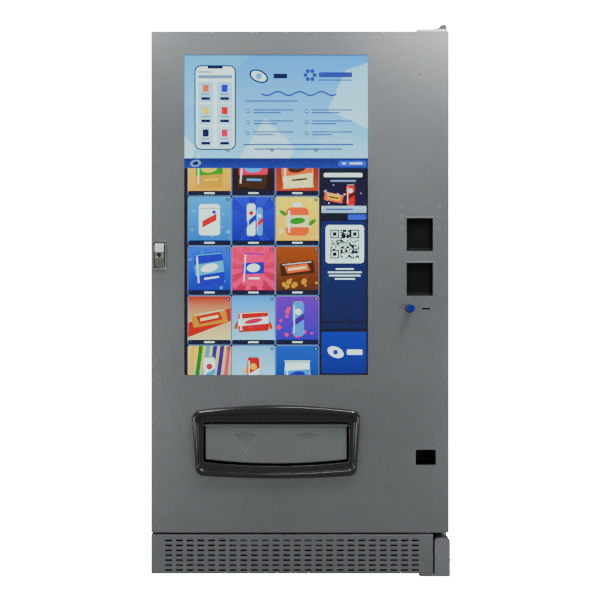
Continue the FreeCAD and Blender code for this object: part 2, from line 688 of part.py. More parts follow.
def tray_rails():
    """A pair of angle rails on the chamber walls under each tray."""
    rails = []
    y0 = TRAY_FRONT + 10
    shelf = TRAY_SIDE_GAP + 8
    for floor in tray_floors():
        top = floor - GAP / 2
        left = box(CHAMBER_LEFT, CHAMBER_LEFT + SHEET, y0, TRAY_BACK, top - SHEET, top + 30)
        left_shelf = box(CHAMBER_LEFT, CHAMBER_LEFT + shelf, y0, TRAY_BACK, top - SHEET, top)
        right = box(CHAMBER_RIGHT - SHEET, CHAMBER_RIGHT, y0, TRAY_BACK, top - SHEET, top + 30)
        right_shelf = box(CHAMBER_RIGHT - shelf, CHAMBER_RIGHT, y0, TRAY_BACK, top - SHEET, top)
        rails.append(left.fuse(left_shelf).removeSplitter())
        rails.append(right.fuse(right_shelf).removeSplitter())
    return rails


def lane_centres():
    for lane in range(LANE_COUNT):
        yield TRAY_LEFT + LANE_WIDTH * (lane + 0.5)


def tray(floor):
    """Sheet tray with lane dividers, a front price rail, and a motor behind each lane."""
    pan = box(TRAY_LEFT, TRAY_RIGHT, TRAY_FRONT, TRAY_BACK, floor, floor + LINER)
    wall_top = floor + TRAY_WALL_HEIGHT
    back_top = floor + 2 * COIL_HEIGHT - 20
    walls = [
        box(TRAY_LEFT, TRAY_LEFT + LINER, TRAY_FRONT, TRAY_BACK, floor, wall_top),
        box(TRAY_RIGHT - LINER, TRAY_RIGHT, TRAY_FRONT, TRAY_BACK, floor, wall_top),
        box(TRAY_LEFT, TRAY_RIGHT, TRAY_BACK - LINER, TRAY_BACK, floor, back_top),
        box(TRAY_LEFT, TRAY_RIGHT, TRAY_FRONT, TRAY_FRONT + LINER, floor - 30, floor + LINER + 2),
    ]
    for lane in range(1, LANE_COUNT):
        x = TRAY_LEFT + LANE_WIDTH * lane
        walls.append(box(x - LINER / 2, x + LINER / 2, TRAY_FRONT + 6, TRAY_BACK, floor, wall_top + 14))
    body = pan.fuse(walls)
    axis_z = floor + COIL_HEIGHT
    holes = []
    motors = []
    for x in lane_centres():
        start = V(x, TRAY_BACK - 3 * LINER, axis_z)
        holes.append(rod(COIL_SHAFT_RADIUS + FIT, 3 * LINER + MOTOR_DEPTH - 8, start, ALONG_Y))
        motors.append(box(
            x - MOTOR_WIDTH / 2, x + MOTOR_WIDTH / 2, TRAY_BACK, TRAY_BACK + MOTOR_DEPTH,
            axis_z - MOTOR_HEIGHT / 2, axis_z + MOTOR_HEIGHT / 2,
        ))
    return body.fuse(motors).cut(holes)


def spiral(x, floor):
    """Product spiral: the wire, and the drive arm behind its last turn with its hub and shaft."""
    z = floor + COIL_HEIGHT
    front = TRAY_FRONT + COIL_FRONT_SET
    arm_front = TRAY_BACK - LINER - COIL_BACK_ROOM - ARM_DEPTH
    length = arm_front - GAP / 2 - COIL_WIRE - front
    path = Part.makeHelix(length / COIL_TURNS, length, COIL_RADIUS)
    corners = []
    for corner in range(WIRE_SIDES + 1):
        turn = FreeCAD.Rotation(ALONG_Y, 360.0 * (corner % WIRE_SIDES) / WIRE_SIDES)
        corners.append(V(COIL_RADIUS, 0, 0) + turn.multVec(V(COIL_WIRE, 0, 0)))
    wire = Part.Wire(path.Edges).makePipeShell([Part.makePolygon(corners)], True, True)
    wire.rotate(V(0, 0, 0), ALONG_X, -90)
    wire.translate(V(x, front, z))
    arm = box(x - 5, x + COIL_RADIUS + COIL_WIRE, arm_front, arm_front + ARM_DEPTH, z - 5, z + 5)
    hub = rod(10.0, ARM_DEPTH, V(x, arm_front, z), ALONG_Y)
    reach = COIL_BACK_ROOM + LINER + MOTOR_DEPTH - 10
    shaft = rod(COIL_SHAFT_RADIUS, reach, V(x, arm_front + ARM_DEPTH, z), ALONG_Y)
    return wire, arm.fuse([hub, shaft])


def latch_nut():
    """Nut in the cabinet wall that takes the door lock's bolt."""
    body = rod(NUT_RADIUS, NUT_LENGTH, V(LOCK_X, CABINET_FRONT + SHEET, LOCK_Z), ALONG_Y)
    return body.cut(rod(
        LOCK_BOLT_RADIUS + 0.5, NUT_LENGTH + 2, V(LOCK_X, CABINET_FRONT + SHEET - 1, LOCK_Z),
        ALONG_Y
    ))


def control_box():
    """Control electronics in the service bay."""
    x1 = RIGHT - SHEET
    shell = rounded_box(
        x1 - 70, x1, CABINET_FRONT + 120, CABINET_FRONT + 420, CHAMBER_TOP - 420,
        CHAMBER_TOP - 120, 4.0, ALONG_X
    )
    plugs = []
    for index in range(5):
        z = CHAMBER_TOP - 390 + index * 50
        plugs.append(box(x1 - 80, x1 - 68, CABINET_FRONT + 150, CABINET_FRONT + 180, z, z + 26))
    return shell.fuse(plugs).removeSplitter()


def power_inlet():
    """Recessed mains inlet on the back, beside the rear cover."""
    x = RIGHT - 30
    z = REAR_MOUTH_TOP - 30
    body = rounded_box(x - 14, x + 14, CABINET_BACK, REAR - 0.5, z - 20, z + 20, 3.0)
    well = rounded_box(x - 11, x + 11, CABINET_BACK + 1, REAR + 1, z - 9, z + 9, 3.0)
    return body.cut(well)


# ---------------------------------------------------------------- door
def door_skin():
    """Front sheet folded back at all four sides, with every opening cut through."""
    outer = box(LEFT, RIGHT, FRONT, DOOR_BACK, DOOR_BOTTOM, HEIGHT)
    front_edges = [
        edge for edge in outer.Edges if all(abs(vertex.Y - FRONT) < 1e-6 for vertex in edge.Vertexes)
    ]
    outer = outer.makeFillet(KICK_EDGE, front_edges)
    inner = box(LEFT + SHEET, RIGHT - SHEET, SKIN_BACK, DOOR_BACK + 1, DOOR_BOTTOM + SHEET, HEIGHT - SHEET)
    y0 = FRONT - 1
    y1 = SKIN_BACK + 1
    cuts = [
        inner,
        rounded_box(DISPLAY_LEFT, DISPLAY_RIGHT, y0, y1, DISPLAY_BOTTOM, DISPLAY_TOP, 2.0),
        arched_plate(MOUTH_LEFT, MOUTH_RIGHT, MOUTH_BOTTOM, MOUTH_TOP, MOUTH_SAG, 0, 0, y0, y1, 8.0),
        box(
            LOCK_X - LOCK_WIDTH / 2, LOCK_X + LOCK_WIDTH / 2, y0, y1, LOCK_Z - LOCK_HEIGHT / 2,
            LOCK_Z + LOCK_HEIGHT / 2
        ),
        obround(COIN_SLOT_X, COIN_SLOT_Z, COIN_SLOT_WIDTH, COIN_SLOT_HEIGHT, y0, y1),
        rod(BUTTON_RADIUS + 1.5, 4.0, V(BUTTON_X, y0, BUTTON_Z), ALONG_Y),
        rounded_box(
            CUP_X - CUP_WIDTH / 2, CUP_X + CUP_WIDTH / 2, y0, y1, CUP_BOTTOM,
            CUP_BOTTOM + CUP_HEIGHT, 4.5
        ),
        rod(SENSOR_RADIUS, 4.0, V(PAYMENT_X, y0, HEIGHT - SENSOR_FROM_TOP), ALONG_Y),
    ]
    for drop in PAYMENT_TOPS:
        top = HEIGHT - drop
        cuts.append(box(
            PAYMENT_X - PAYMENT_WIDTH / 2, PAYMENT_X + PAYMENT_WIDTH / 2, y0, y1, top - PAYMENT_HEIGHT, top
        ))
    for z in (DOOR_BOTTOM, HEIGHT - SHEET):
        cuts.append(rod(PIN_RADIUS + BUSHING_WALL, 2 * SHEET, V(HINGE_X, HINGE_Y, z - 1), ALONG_Z))
    return outer.cut(cuts)


def bin_passage(y0, y1):
    return box(BIN_LEFT - SHEET, BIN_RIGHT + SHEET, y0, y1, BIN_BOTTOM - SHEET, BIN_TOP + SHEET)


def door_inner_panel():
    """Moulded inner panel with a raised plug that fills the chamber's mouth."""
    back = box(
        LEFT + SHEET, RIGHT - SHEET, DOOR_BACK - SHEET, DOOR_BACK, DOOR_BOTTOM + SHEET,
        HEIGHT - SHEET
    )
    plug = box(PLUG_LEFT, PLUG_RIGHT, DOOR_BACK - SHEET, PLUG_BACK, PLUG_BOTTOM - 2, PLUG_TOP)
    hollow = box(
        PLUG_LEFT + SHEET, PLUG_RIGHT - SHEET, DOOR_BACK - 2 * SHEET, PLUG_BACK - SHEET,
        PLUG_BOTTOM, PLUG_TOP - SHEET
    )
    bolt_hole = rod(LOCK_BOLT_RADIUS + 3, 4 * SHEET, V(LOCK_X, DOOR_BACK - 2 * SHEET, LOCK_Z), ALONG_Y)
    bay_hole = box(
        COIN_MECH_LEFT - 2, COIN_MECH_RIGHT + 2, DOOR_BACK - 2 * SHEET, DOOR_BACK + SHEET,
        COIN_MECH_BOTTOM - 2, COIN_MECH_TOP + 2
    )
    return back.fuse(plug).removeSplitter().cut(
        [hollow, bolt_hole, bay_hole, bin_passage(DOOR_BACK - 10, PLUG_BACK + 5)]
    )


def door_insulation():
    foam = box(
        PLUG_LEFT + SHEET, PLUG_RIGHT - SHEET, DOOR_BACK - SHEET, PLUG_BACK - SHEET, PLUG_BOTTOM,
        PLUG_TOP - SHEET
    )
    return foam.cut(bin_passage(DOOR_BACK - 10, PLUG_BACK + 5))


def door_gasket():
    """Bellows seal round the plug, with a groove along its face."""
    margin = 2.0
    outer = box(
        PLUG_LEFT - margin - GASKET_WIDTH, PLUG_RIGHT + margin + GASKET_WIDTH, DOOR_BACK,
        CABINET_FRONT - GAP / 2,
        PLUG_BOTTOM - margin - 2 - GASKET_WIDTH, PLUG_TOP + margin + GASKET_WIDTH,
    )
    inner = box(
        PLUG_LEFT - margin, PLUG_RIGHT + margin, DOOR_BACK - 1, CABINET_FRONT + 1,
        PLUG_BOTTOM - margin - 2, PLUG_TOP + margin,
    )
    return outer.cut(inner)


def display_glass():
    return box(
        DISPLAY_LEFT - DISPLAY_LAP, DISPLAY_RIGHT + DISPLAY_LAP, SKIN_BACK, SKIN_BACK + GLASS_THICKNESS,
        DISPLAY_BOTTOM - DISPLAY_LAP, DISPLAY_TOP + DISPLAY_LAP,
    )


def display_panel():
    y0 = SKIN_BACK + GLASS_THICKNESS + PANEL_AIR_GAP
    return box(
        DISPLAY_LEFT - DISPLAY_LAP / 2, DISPLAY_RIGHT + DISPLAY_LAP / 2, y0, y0 + PANEL_THICKNESS,
        DISPLAY_BOTTOM - DISPLAY_LAP / 2, DISPLAY_TOP + DISPLAY_LAP / 2,
    )


def display_housing():
    """Rear case of the display, open to the glass, with vent slots in its back."""
    y0 = SKIN_BACK + GLASS_THICKNESS
    y1 = y0 + DISPLAY_DEPTH
    x0 = DISPLAY_LEFT - DISPLAY_LAP
    x1 = DISPLAY_RIGHT + DISPLAY_LAP
    z0 = DISPLAY_BOTTOM - DISPLAY_LAP
    z1 = DISPLAY_TOP + DISPLAY_LAP
    case = hollow_box(x0, x1, y0, y1, z0, z1, DISPLAY_LAP / 2, ("-y",))
    vents = []
    for row in (0.2, 0.8):
        for column in range(12):
            x = x0 + (x1 - x0) * (column + 1) / 13
            z = z0 + (z1 - z0) * row
            vents.append(box(x - 4, x + 4, y1 - 6, y1 + 1, z - 40, z + 40))
    return case.cut(vents)


def delivery_bezel():
    """Moulded surround: a raised roll round a flat band, with the delivery mouth through it."""
    x0 = MOUTH_X - BEZEL_WIDTH / 2
    x1 = MOUTH_X + BEZEL_WIDTH / 2
    roll = arched_plate(
        x0, x1, BEZEL_BOTTOM, BEZEL_TOP, BEZEL_SAG, BEZEL_RISE, BEZEL_TAPER, FRONT - BEZEL_DEPTH,
        FRONT, 34.0
    )
    front_edges = [
        edge for edge in roll.Edges if edge.BoundBox.YMax < FRONT - BEZEL_DEPTH + 1e-3
    ]
    roll = roll.makeFillet(7.0, front_edges)
    pocket = arched_plate(
        x0 + BEZEL_ROLL_SIDE, x1 - BEZEL_ROLL_SIDE, BEZEL_BOTTOM + BEZEL_ROLL_BOTTOM,
        BEZEL_TOP - BEZEL_ROLL_TOP,
        BEZEL_SAG, BEZEL_RISE - 4, BEZEL_TAPER, FRONT - BEZEL_DEPTH - 1, FRONT - BEZEL_BAND, 20.0,
    )
    mouth = arched_plate(
        MOUTH_LEFT, MOUTH_RIGHT, MOUTH_BOTTOM, MOUTH_TOP, MOUTH_SAG, 0, 0, FRONT - BEZEL_DEPTH - 1,
        FRONT + 1, 8.0
    )
    return roll.cut([pocket, mouth])


def delivery_bin():
    """Bin behind the mouth: open to the flap in front and, behind the plug, to the trays above."""
    x0 = BIN_LEFT
    x1 = BIN_RIGHT
    shell = box(x0, x1, SKIN_BACK, BIN_BACK, BIN_BOTTOM, BIN_TOP)
    hollow = box(
        x0 + SHEET, x1 - SHEET, SKIN_BACK + SHEET, BIN_BACK - SHEET, BIN_BOTTOM + SHEET,
        BIN_TOP - SHEET
    )
    mouth = box(
        MOUTH_LEFT, MOUTH_RIGHT, SKIN_BACK - 1, SKIN_BACK + 2 * SHEET, MOUTH_BOTTOM - MOUTH_SAG,
        MOUTH_TOP
    )
    top = box(x0 + SHEET, x1 - SHEET, PLUG_BACK + SHEET, BIN_BACK - SHEET, BIN_TOP - 2 * SHEET, BIN_TOP + 1)
    ramp = Part.Face(Part.makePolygon([
        V(x0 + 1, BIN_BACK - 1, BIN_BOTTOM + 90), V(x0 + 1, BIN_BACK - 1, BIN_BOTTOM + 1),
        V(x0 + 1, BIN_BACK - 110, BIN_BOTTOM + 1), V(x0 + 1, BIN_BACK - 1, BIN_BOTTOM + 90),
    ])).extrude(V(x1 - x0 - 2, 0, 0))
    return shell.cut([hollow, mouth, top]).fuse(ramp).removeSplitter()


def flap_rod():
    """Rod across the bin that the flap hangs on, with a washer at each end."""
    x0 = BIN_LEFT + SHEET
    x1 = BIN_RIGHT - SHEET
    bar = rod(FLAP_ROD_RADIUS, x1 - x0, V(x0, FLAP_AXIS_Y, FLAP_AXIS_Z), ALONG_X)
    left = rod(FLAP_ROD_RADIUS + 1, 4.0, V(x0, FLAP_AXIS_Y, FLAP_AXIS_Z), ALONG_X)
    right = rod(FLAP_ROD_RADIUS + 1, 4.0, V(x1 - 4, FLAP_AXIS_Y, FLAP_AXIS_Z), ALONG_X)
    return bar.fuse([left, right]).removeSplitter()


def triangle(x, y0, y1):
    """Down-pointing triangle with a hollowed top edge and round corners."""
    top = FLAP_TOP - 36
    left = V(x - TRIANGLE_WIDTH / 2, y0, top)
    right = V(x + TRIANGLE_WIDTH / 2, y0, top)
    tip = V(x, y0, top - TRIANGLE_HEIGHT)
    edges = [
        edge_between(left, right, -8),
        edge_between(right, tip, 0),
        edge_between(tip, left, 0),
    ]
    return round_along(Part.Face(Part.Wire(edges)).extrude(V(0, y1 - y0, 0)), ALONG_Y, 4.0)


def delivery_flap():
    """Push flap with two pressed arrows, hung from a barrel along its top edge."""
    x0 = MOUTH_LEFT + FLAP_GAP_SIDE
    x1 = MOUTH_RIGHT - FLAP_GAP_SIDE
    back = FLAP_FRONT + FLAP_THICKNESS
    plate = arched_plate(x0, x1, FLAP_BOTTOM, FLAP_AXIS_Z, MOUTH_SAG, 0, 0, FLAP_FRONT, back, 4.0)
    barrel = rod(FLAP_BARREL_RADIUS, x1 - x0, V(x0, FLAP_AXIS_Y, FLAP_AXIS_Z), ALONG_X)
    bore = rod(FLAP_ROD_RADIUS + FIT, x1 - x0 + 2, V(x0 - 1, FLAP_AXIS_Y, FLAP_AXIS_Z), ALONG_X)
    arrows = []
    for side in (-1, 1):
        arrows.append(triangle(
            MOUTH_X + side * TRIANGLE_OFFSET, FLAP_FRONT - 1, FLAP_FRONT + TRIANGLE_DEPTH
        ))
    return plate.fuse(barrel).cut([bore] + arrows)


def lock_housing():
    """Rectangular cup that the lock handle sits in."""
    cup = hollow_box(
        LOCK_X - LOCK_WIDTH / 2, LOCK_X + LOCK_WIDTH / 2, FRONT - LOCK_RIM, LOCK_FLOOR + LOCK_WALL,
        LOCK_Z - LOCK_HEIGHT / 2, LOCK_Z + LOCK_HEIGHT / 2, LOCK_WALL, ("-y",),
    )
    guide = rod(LOCK_SHAFT_RADIUS + 4, 22.0, V(LOCK_X, LOCK_FLOOR + 1, LOCK_Z), ALONG_Y)
    bore = rod(LOCK_SHAFT_RADIUS + FIT, 40.0, V(LOCK_X, LOCK_FLOOR - 5, LOCK_Z), ALONG_Y)
    return cup.fuse(guide).removeSplitter().cut(bore)


def lock_handle():
    """Pop-out handle with its shaft, bored in front for the key cylinder."""
    y0 = LOCK_FLOOR - GAP - HANDLE_THICKNESS - 3
    y1 = LOCK_FLOOR - GAP
    grip = rounded_box(
        LOCK_X - HANDLE_WIDTH / 2, LOCK_X + HANDLE_WIDTH / 2, y0, y1, LOCK_Z - HANDLE_HEIGHT / 2,
        LOCK_Z + HANDLE_HEIGHT / 2, 6.0,
    )
    front_edges = [edge for edge in grip.Edges if edge.BoundBox.YMax < y0 + 1e-3]
    grip = grip.makeFillet(2.5, front_edges)
    shaft = rod(LOCK_SHAFT_RADIUS, 44.0, V(LOCK_X, y1 - 1, LOCK_Z), ALONG_Y)
    bore = rod(LOCK_CYLINDER_RADIUS + FIT, 16.0, V(LOCK_X, y0 - 1, LOCK_Z), ALONG_Y)
    bolt_seat = rod(LOCK_BOLT_RADIUS, 20.0, V(LOCK_X, y1 + 43 - 14, LOCK_Z), ALONG_Y)
    return grip.fuse(shaft).removeSplitter().cut([bore, bolt_seat])


def lock_cylinder():
    """Key cylinder with its keyway."""
    y0 = LOCK_FLOOR - GAP - HANDLE_THICKNESS - 3
    plug = rod(LOCK_CYLINDER_RADIUS, 15.0, V(LOCK_X, y0 - 0.5, LOCK_Z), ALONG_Y)
    keyway = box(LOCK_X - 1, LOCK_X + 1, y0 - 2, y0 + 8, LOCK_Z - 4, LOCK_Z + 4)
    return plug.cut(keyway)


def lock_bolt():
    """Draw bolt pressed into the handle's shaft. It is drawn back, clear of the nut."""
    y0 = LOCK_FLOOR - GAP + 43 - 14
    return rod(LOCK_BOLT_RADIUS, BOLT_TIP - y0, V(LOCK_X, y0, LOCK_Z), ALONG_Y)


def payment_blanks():
    """Two closed pans in the payment cut-outs, each with a sloping ledge."""
    blanks = []
    x0 = PAYMENT_X - PAYMENT_WIDTH / 2
    x1 = PAYMENT_X + PAYMENT_WIDTH / 2
    for drop in PAYMENT_TOPS:
        top = HEIGHT - drop
        low = top - PAYMENT_HEIGHT
        pan = hollow_box(x0, x1, FRONT, FRONT + PAYMENT_DEPTH, low, top, SHEET, ("-y",))
        y1 = FRONT + PAYMENT_DEPTH - SHEET
        ledge = Part.Face(Part.makePolygon([
            V(x0 + SHEET, FRONT + 1, low + SHEET), V(x0 + SHEET, y1, low + SHEET),
            V(x0 + SHEET, y1, low + SHEET + PAYMENT_LEDGE), V(x0 + SHEET, FRONT + 1, low + SHEET),
        ])).extrude(V(x1 - x0 - 2 * SHEET, 0, 0))
        blanks.append(pan.fuse(ledge).removeSplitter())
    return blanks


def coin_chute():
    """Tube that takes a coin from the slot down into the mechanism."""
    x0 = COIN_SLOT_X - COIN_SLOT_WIDTH / 2 - 3
    x1 = COIN_SLOT_X + COIN_SLOT_WIDTH / 2 + 3
    top = COIN_SLOT_Z + 8
    outer = box(x0, x1, SKIN_BACK, SKIN_BACK + 22, COIN_MECH_TOP, top)
    inner = box(x0 + 2, x1 - 2, SKIN_BACK + 2, SKIN_BACK + 20, COIN_MECH_TOP - 1, top - 2)
    mouth = obround(
        COIN_SLOT_X, COIN_SLOT_Z, COIN_SLOT_WIDTH, COIN_SLOT_HEIGHT, SKIN_BACK - 1, SKIN_BACK + 4
    )
    return outer.cut([inner, mouth])


def coin_mech():
    """Coin changer: a body with three coin tubes seen through its back."""
    y0 = SKIN_BACK + GAP
    body = rounded_box(
        COIN_MECH_LEFT, COIN_MECH_RIGHT, y0, COIN_MECH_BACK, COIN_MECH_BOTTOM, COIN_MECH_TOP, 4.0
    )
    tubes = []
    span = COIN_MECH_RIGHT - COIN_MECH_LEFT
    for index in range(3):
        x = COIN_MECH_LEFT + span * (index + 0.5) / 3
        tubes.append(rod(span / 7.5, 190.0, V(x, COIN_MECH_BACK, COIN_MECH_BOTTOM + 30), ALONG_Z))
    return body.cut(tubes)


def return_chute():
    """Duct that drops returned coins into the cup."""
    x0 = CUP_X - 18
    x1 = CUP_X + 18
    z0 = CUP_BOTTOM + CUP_HEIGHT + SHEET
    outer = box(x0, x1, SKIN_BACK + GAP, SKIN_BACK + 24, z0, COIN_MECH_BOTTOM)
    return outer.cut(box(x0 + 2, x1 - 2, SKIN_BACK + GAP + 2, SKIN_BACK + 22, z0 - 1, COIN_MECH_BOTTOM + 1))


def coin_cup():
    """Coin return cup with a scooped floor and a chute hole in its roof."""
    x0 = CUP_X - CUP_WIDTH / 2 - SHEET
    x1 = CUP_X + CUP_WIDTH / 2 + SHEET
    z0 = CUP_BOTTOM - SHEET
    z1 = CUP_BOTTOM + CUP_HEIGHT + SHEET
    y0 = SKIN_BACK
    block = box(x0, x1, y0, y0 + CUP_DEPTH, z0, z1)
    scoop = rounded_box(
        x0 + SHEET, x1 - SHEET, y0 - 12, y0 + CUP_DEPTH - SHEET, CUP_BOTTOM + 1, z1 - SHEET, 11.0,
        ALONG_X
    )
    chute = box(CUP_X - 16, CUP_X + 16, y0 + 3, y0 + 20, z1 - 2 * SHEET, z1 + 1)
    return block.cut([scoop, chute])


def button_guide():
    """Sleeve behind the skin that guides the coin return button."""
    y0 = SKIN_BACK
    sleeve = rod(BUTTON_RADIUS + 4, 20.0, V(BUTTON_X, y0, BUTTON_Z), ALONG_Y)
    return sleeve.cut(rod(BUTTON_RADIUS + FIT, 24.0, V(BUTTON_X, y0 - 2, BUTTON_Z), ALONG_Y))


def coin_return_button():
    y0 = FRONT - BUTTON_REACH
    button = rod(BUTTON_RADIUS, BUTTON_REACH + SHEET + 18, V(BUTTON_X, y0, BUTTON_Z), ALONG_Y)
    return button.makeFillet(2.0, [edge for edge in button.Edges if edge.BoundBox.YMax < y0 + 1e-3])


def door_hinge_plates():
    """Plates on the door's bottom and top edges that hold the hinge bushings."""
    plates = []
    hole = PIN_RADIUS + BUSHING_WALL
    places = (
        (DOOR_BOTTOM - PLATE_THICKNESS, PLATE_THICKNESS, HINGE_Y - 24, LOWER_PLATE_REACH),
        (HEIGHT, TOP_PLATE_THICKNESS, FRONT + 1, TOP_PLATE_REACH),
    )
    for z, thickness, y0, reach in places:
        plate = rounded_box(
            HINGE_X - reach, HINGE_X + hole - 1, y0, HINGE_Y + 24, z, z + thickness, 8.0, ALONG_Z
        )
        boss = rod(hole + 2, thickness, V(HINGE_X, HINGE_Y, z), ALONG_Z)
        plate = plate.fuse(boss).removeSplitter()
        plates.append(plate.cut(rod(hole, 20.0, V(HINGE_X, HINGE_Y, z - 5), ALONG_Z)))
    return plates


def hinge_bushings():
    bushings = []
    for z in (DOOR_BOTTOM - PLATE_THICKNESS, HEIGHT - 10.0):
        tube = rod(PIN_RADIUS + BUSHING_WALL, 10.0 + PLATE_THICKNESS, V(HINGE_X, HINGE_Y, z), ALONG_Z)
        bushings.append(tube.cut(rod(PIN_RADIUS + FIT, 40.0, V(HINGE_X, HINGE_Y, z - 5), ALONG_Z)))
    return bushings


# ---------------------------------------------------------------- assembly
save("cabinet_shell", cabinet_shell())
save("cabinet_insulation", cabinet_insulation())
save("cabinet_liner", cabinet_liner())
save("base_frame", base_frame())
save("leveling_feet", *leveling_feet())
save("kick_panel", kick_panel())
save("rear_cover", *rear_cover())
save("lower_hinge_bracket", lower_hinge_bracket())
save("upper_hinge_arm", upper_hinge_arm())
save("hinge_pins", *hinge_pins())
save("compressor", compressor())
save("condenser_coil", finned_coil(
    CONDENSER_LEFT, CONDENSER_RIGHT, CONDENSER_FRONT, CONDENSER_BACK, BASE_TOP, DECK_BOTTOM - 10, 36, 6
))
save("fan_shroud", fan_shroud())
save("condenser_fan", fan(CONDENSER_X, FAN_Y, CONDENSER_Z, FAN_RADIUS, FAN_HUB_RADIUS, 5, 22.0))
save("evaporator_housing", evaporator_housing())
save("evaporator_coil", evaporator_coil())
save(
    "evaporator_fan",
    fan(EVAPORATOR_X, EVAPORATOR_FAN_Y, EVAPORATOR_Z, EVAPORATOR_FAN_RADIUS, 18.0, 5, 20.0)
)
save("tray_rails", *tray_rails())
save("latch_nut", latch_nut())
save("control_box", control_box())
save("power_inlet", power_inlet())

save("door_skin", door_skin())
save("door_inner_panel", door_inner_panel())
save("door_insulation", door_insulation())
save("door_gasket", door_gasket())
save("display_glass", display_glass())
save("display_panel", display_panel())
save("display_housing", display_housing())
save("delivery_bezel", delivery_bezel())
save("delivery_bin", delivery_bin())
save("flap_rod", flap_rod())
save("lock_housing", lock_housing())
save("payment_blanks", *payment_blanks())
save("coin_chutes", coin_chute(), return_chute())
save("coin_mech", coin_mech())
save("coin_cup", coin_cup())
save("button_guide", button_guide())
save("door_hinge_plates", *door_hinge_plates())
save("hinge_bushings", *hinge_bushings())

save("delivery_flap", delivery_flap())
save("coin_return_button", coin_return_button())
save("lock_handle", lock_handle())
save("lock_cylinder", lock_cylinder())
save("lock_bolt", lock_bolt())

for level, tray_floor in enumerate(tray_floors(), 1):
    save(f"tray_{level}", tray(tray_floor))
    for lane_number, lane_x in enumerate(lane_centres(), 1):
        save(f"spiral_{level}_{lane_number}", *spiral(lane_x, tray_floor))
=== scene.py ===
import math
import random

import bmesh
import bpy
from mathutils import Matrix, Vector


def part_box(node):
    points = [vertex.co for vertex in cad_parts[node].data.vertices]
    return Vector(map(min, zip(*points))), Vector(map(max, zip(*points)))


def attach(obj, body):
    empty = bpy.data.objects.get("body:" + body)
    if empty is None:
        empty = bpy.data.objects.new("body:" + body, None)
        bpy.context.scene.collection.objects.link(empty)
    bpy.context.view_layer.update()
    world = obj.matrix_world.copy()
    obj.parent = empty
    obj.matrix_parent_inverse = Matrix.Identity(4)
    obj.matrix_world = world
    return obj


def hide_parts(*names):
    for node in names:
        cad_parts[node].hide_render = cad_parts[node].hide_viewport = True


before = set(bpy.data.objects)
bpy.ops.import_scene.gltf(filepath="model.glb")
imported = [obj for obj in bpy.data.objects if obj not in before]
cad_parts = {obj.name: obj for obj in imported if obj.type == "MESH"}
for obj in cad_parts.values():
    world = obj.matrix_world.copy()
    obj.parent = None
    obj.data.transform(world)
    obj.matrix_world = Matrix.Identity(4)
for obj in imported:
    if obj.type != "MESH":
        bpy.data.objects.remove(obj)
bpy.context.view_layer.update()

MM = 0.001
DOOR = "door"
HANDLE = "handle"
ROOT = "root"


# ---------------------------------------------------------------- the frame's boxes
class Span:
    """A CAD node's box, with its middle."""

    def __init__(self, node):
        low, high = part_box(node)
        self.x0, self.y0, self.z0 = low
        self.x1, self.y1, self.z1 = high
        self.x = (self.x0 + self.x1) / 2
        self.y = (self.y0 + self.y1) / 2
        self.z = (self.z0 + self.z1) / 2
        self.wide = self.x1 - self.x0
        self.tall = self.z1 - self.z0


skin = Span("door_skin")
glass = Span("display_glass")
panel = Span("display_panel")
bezel = Span("delivery_bezel")
flap = Span("delivery_flap")
blanks = Span("payment_blanks")
handle = Span("lock_handle")
cylinder = Span("lock_cylinder")
DOOR_FRONT = skin.y0


# ---------------------------------------------------------------- materials
GRAIN_HEIGHT = 0.4 * MM
VIVID = 1.15  # the AgX view greys colours by about this much
AGX_GAIN = 0.82
AGX_POWER = 0.98


def new_material(name):
    material = bpy.data.materials.new(name)
    material.use_nodes = True
    tree = material.node_tree
    return material, tree.nodes, tree.links, tree.nodes["Principled BSDF"]


def put(node, values):
    """Set a node's inputs by their names."""
    for name, value in values.items():
        node.inputs[name].default_value = value


def noise(nodes, links, scale, detail=3.0, stretch=(1, 1, 1)):
    """Noise in the piece's own coordinates, in features per metre."""
    place = nodes.new("ShaderNodeTexCoord")
    mapping = nodes.new("ShaderNodeMapping")
    put(mapping, {"Scale": stretch})
    texture = nodes.new("ShaderNodeTexNoise")
    put(texture, {"Scale": scale, "Detail": detail})
    links.new(place.outputs["Object"], mapping.inputs["Vector"])
    links.new(mapping.outputs["Vector"], texture.inputs["Vector"])
    return texture.outputs["Fac"]


def ramp(nodes, links, factor, stops):
    """A colour ramp through (position, colour) stops."""
    band = nodes.new("ShaderNodeValToRGB")
    elements = band.color_ramp.elements
    while len(elements) < len(stops):
        elements.new(0.5)
    for element, (position, colour) in zip(elements, stops):
        element.position = position
        element.color = (*colour, 1.0)
    links.new(factor, band.inputs["Fac"])
    return band.outputs["Color"]


def scaled(colour, amount):
    return tuple(min(1.0, channel * amount) for channel in colour)


def multiplied(nodes, links, first, second):
    mix = nodes.new("ShaderNodeMix")
    mix.data_type = "RGBA"
    mix.blend_type = "MULTIPLY"
    put(mix, {"Factor": 1.0})
    links.new(first, mix.inputs["A"])
    links.new(second, mix.inputs["B"])
    return mix.outputs["Result"]


def spread(nodes, links, factor, low, high):
    """A value between low and high that follows a noise."""
    span = nodes.new("ShaderNodeMapRange")
    put(span, {"From Min": 0.3, "From Max": 0.7, "To Min": low, "To Max": high})
    links.new(factor, span.inputs["Value"])
    return span.outputs["Result"]


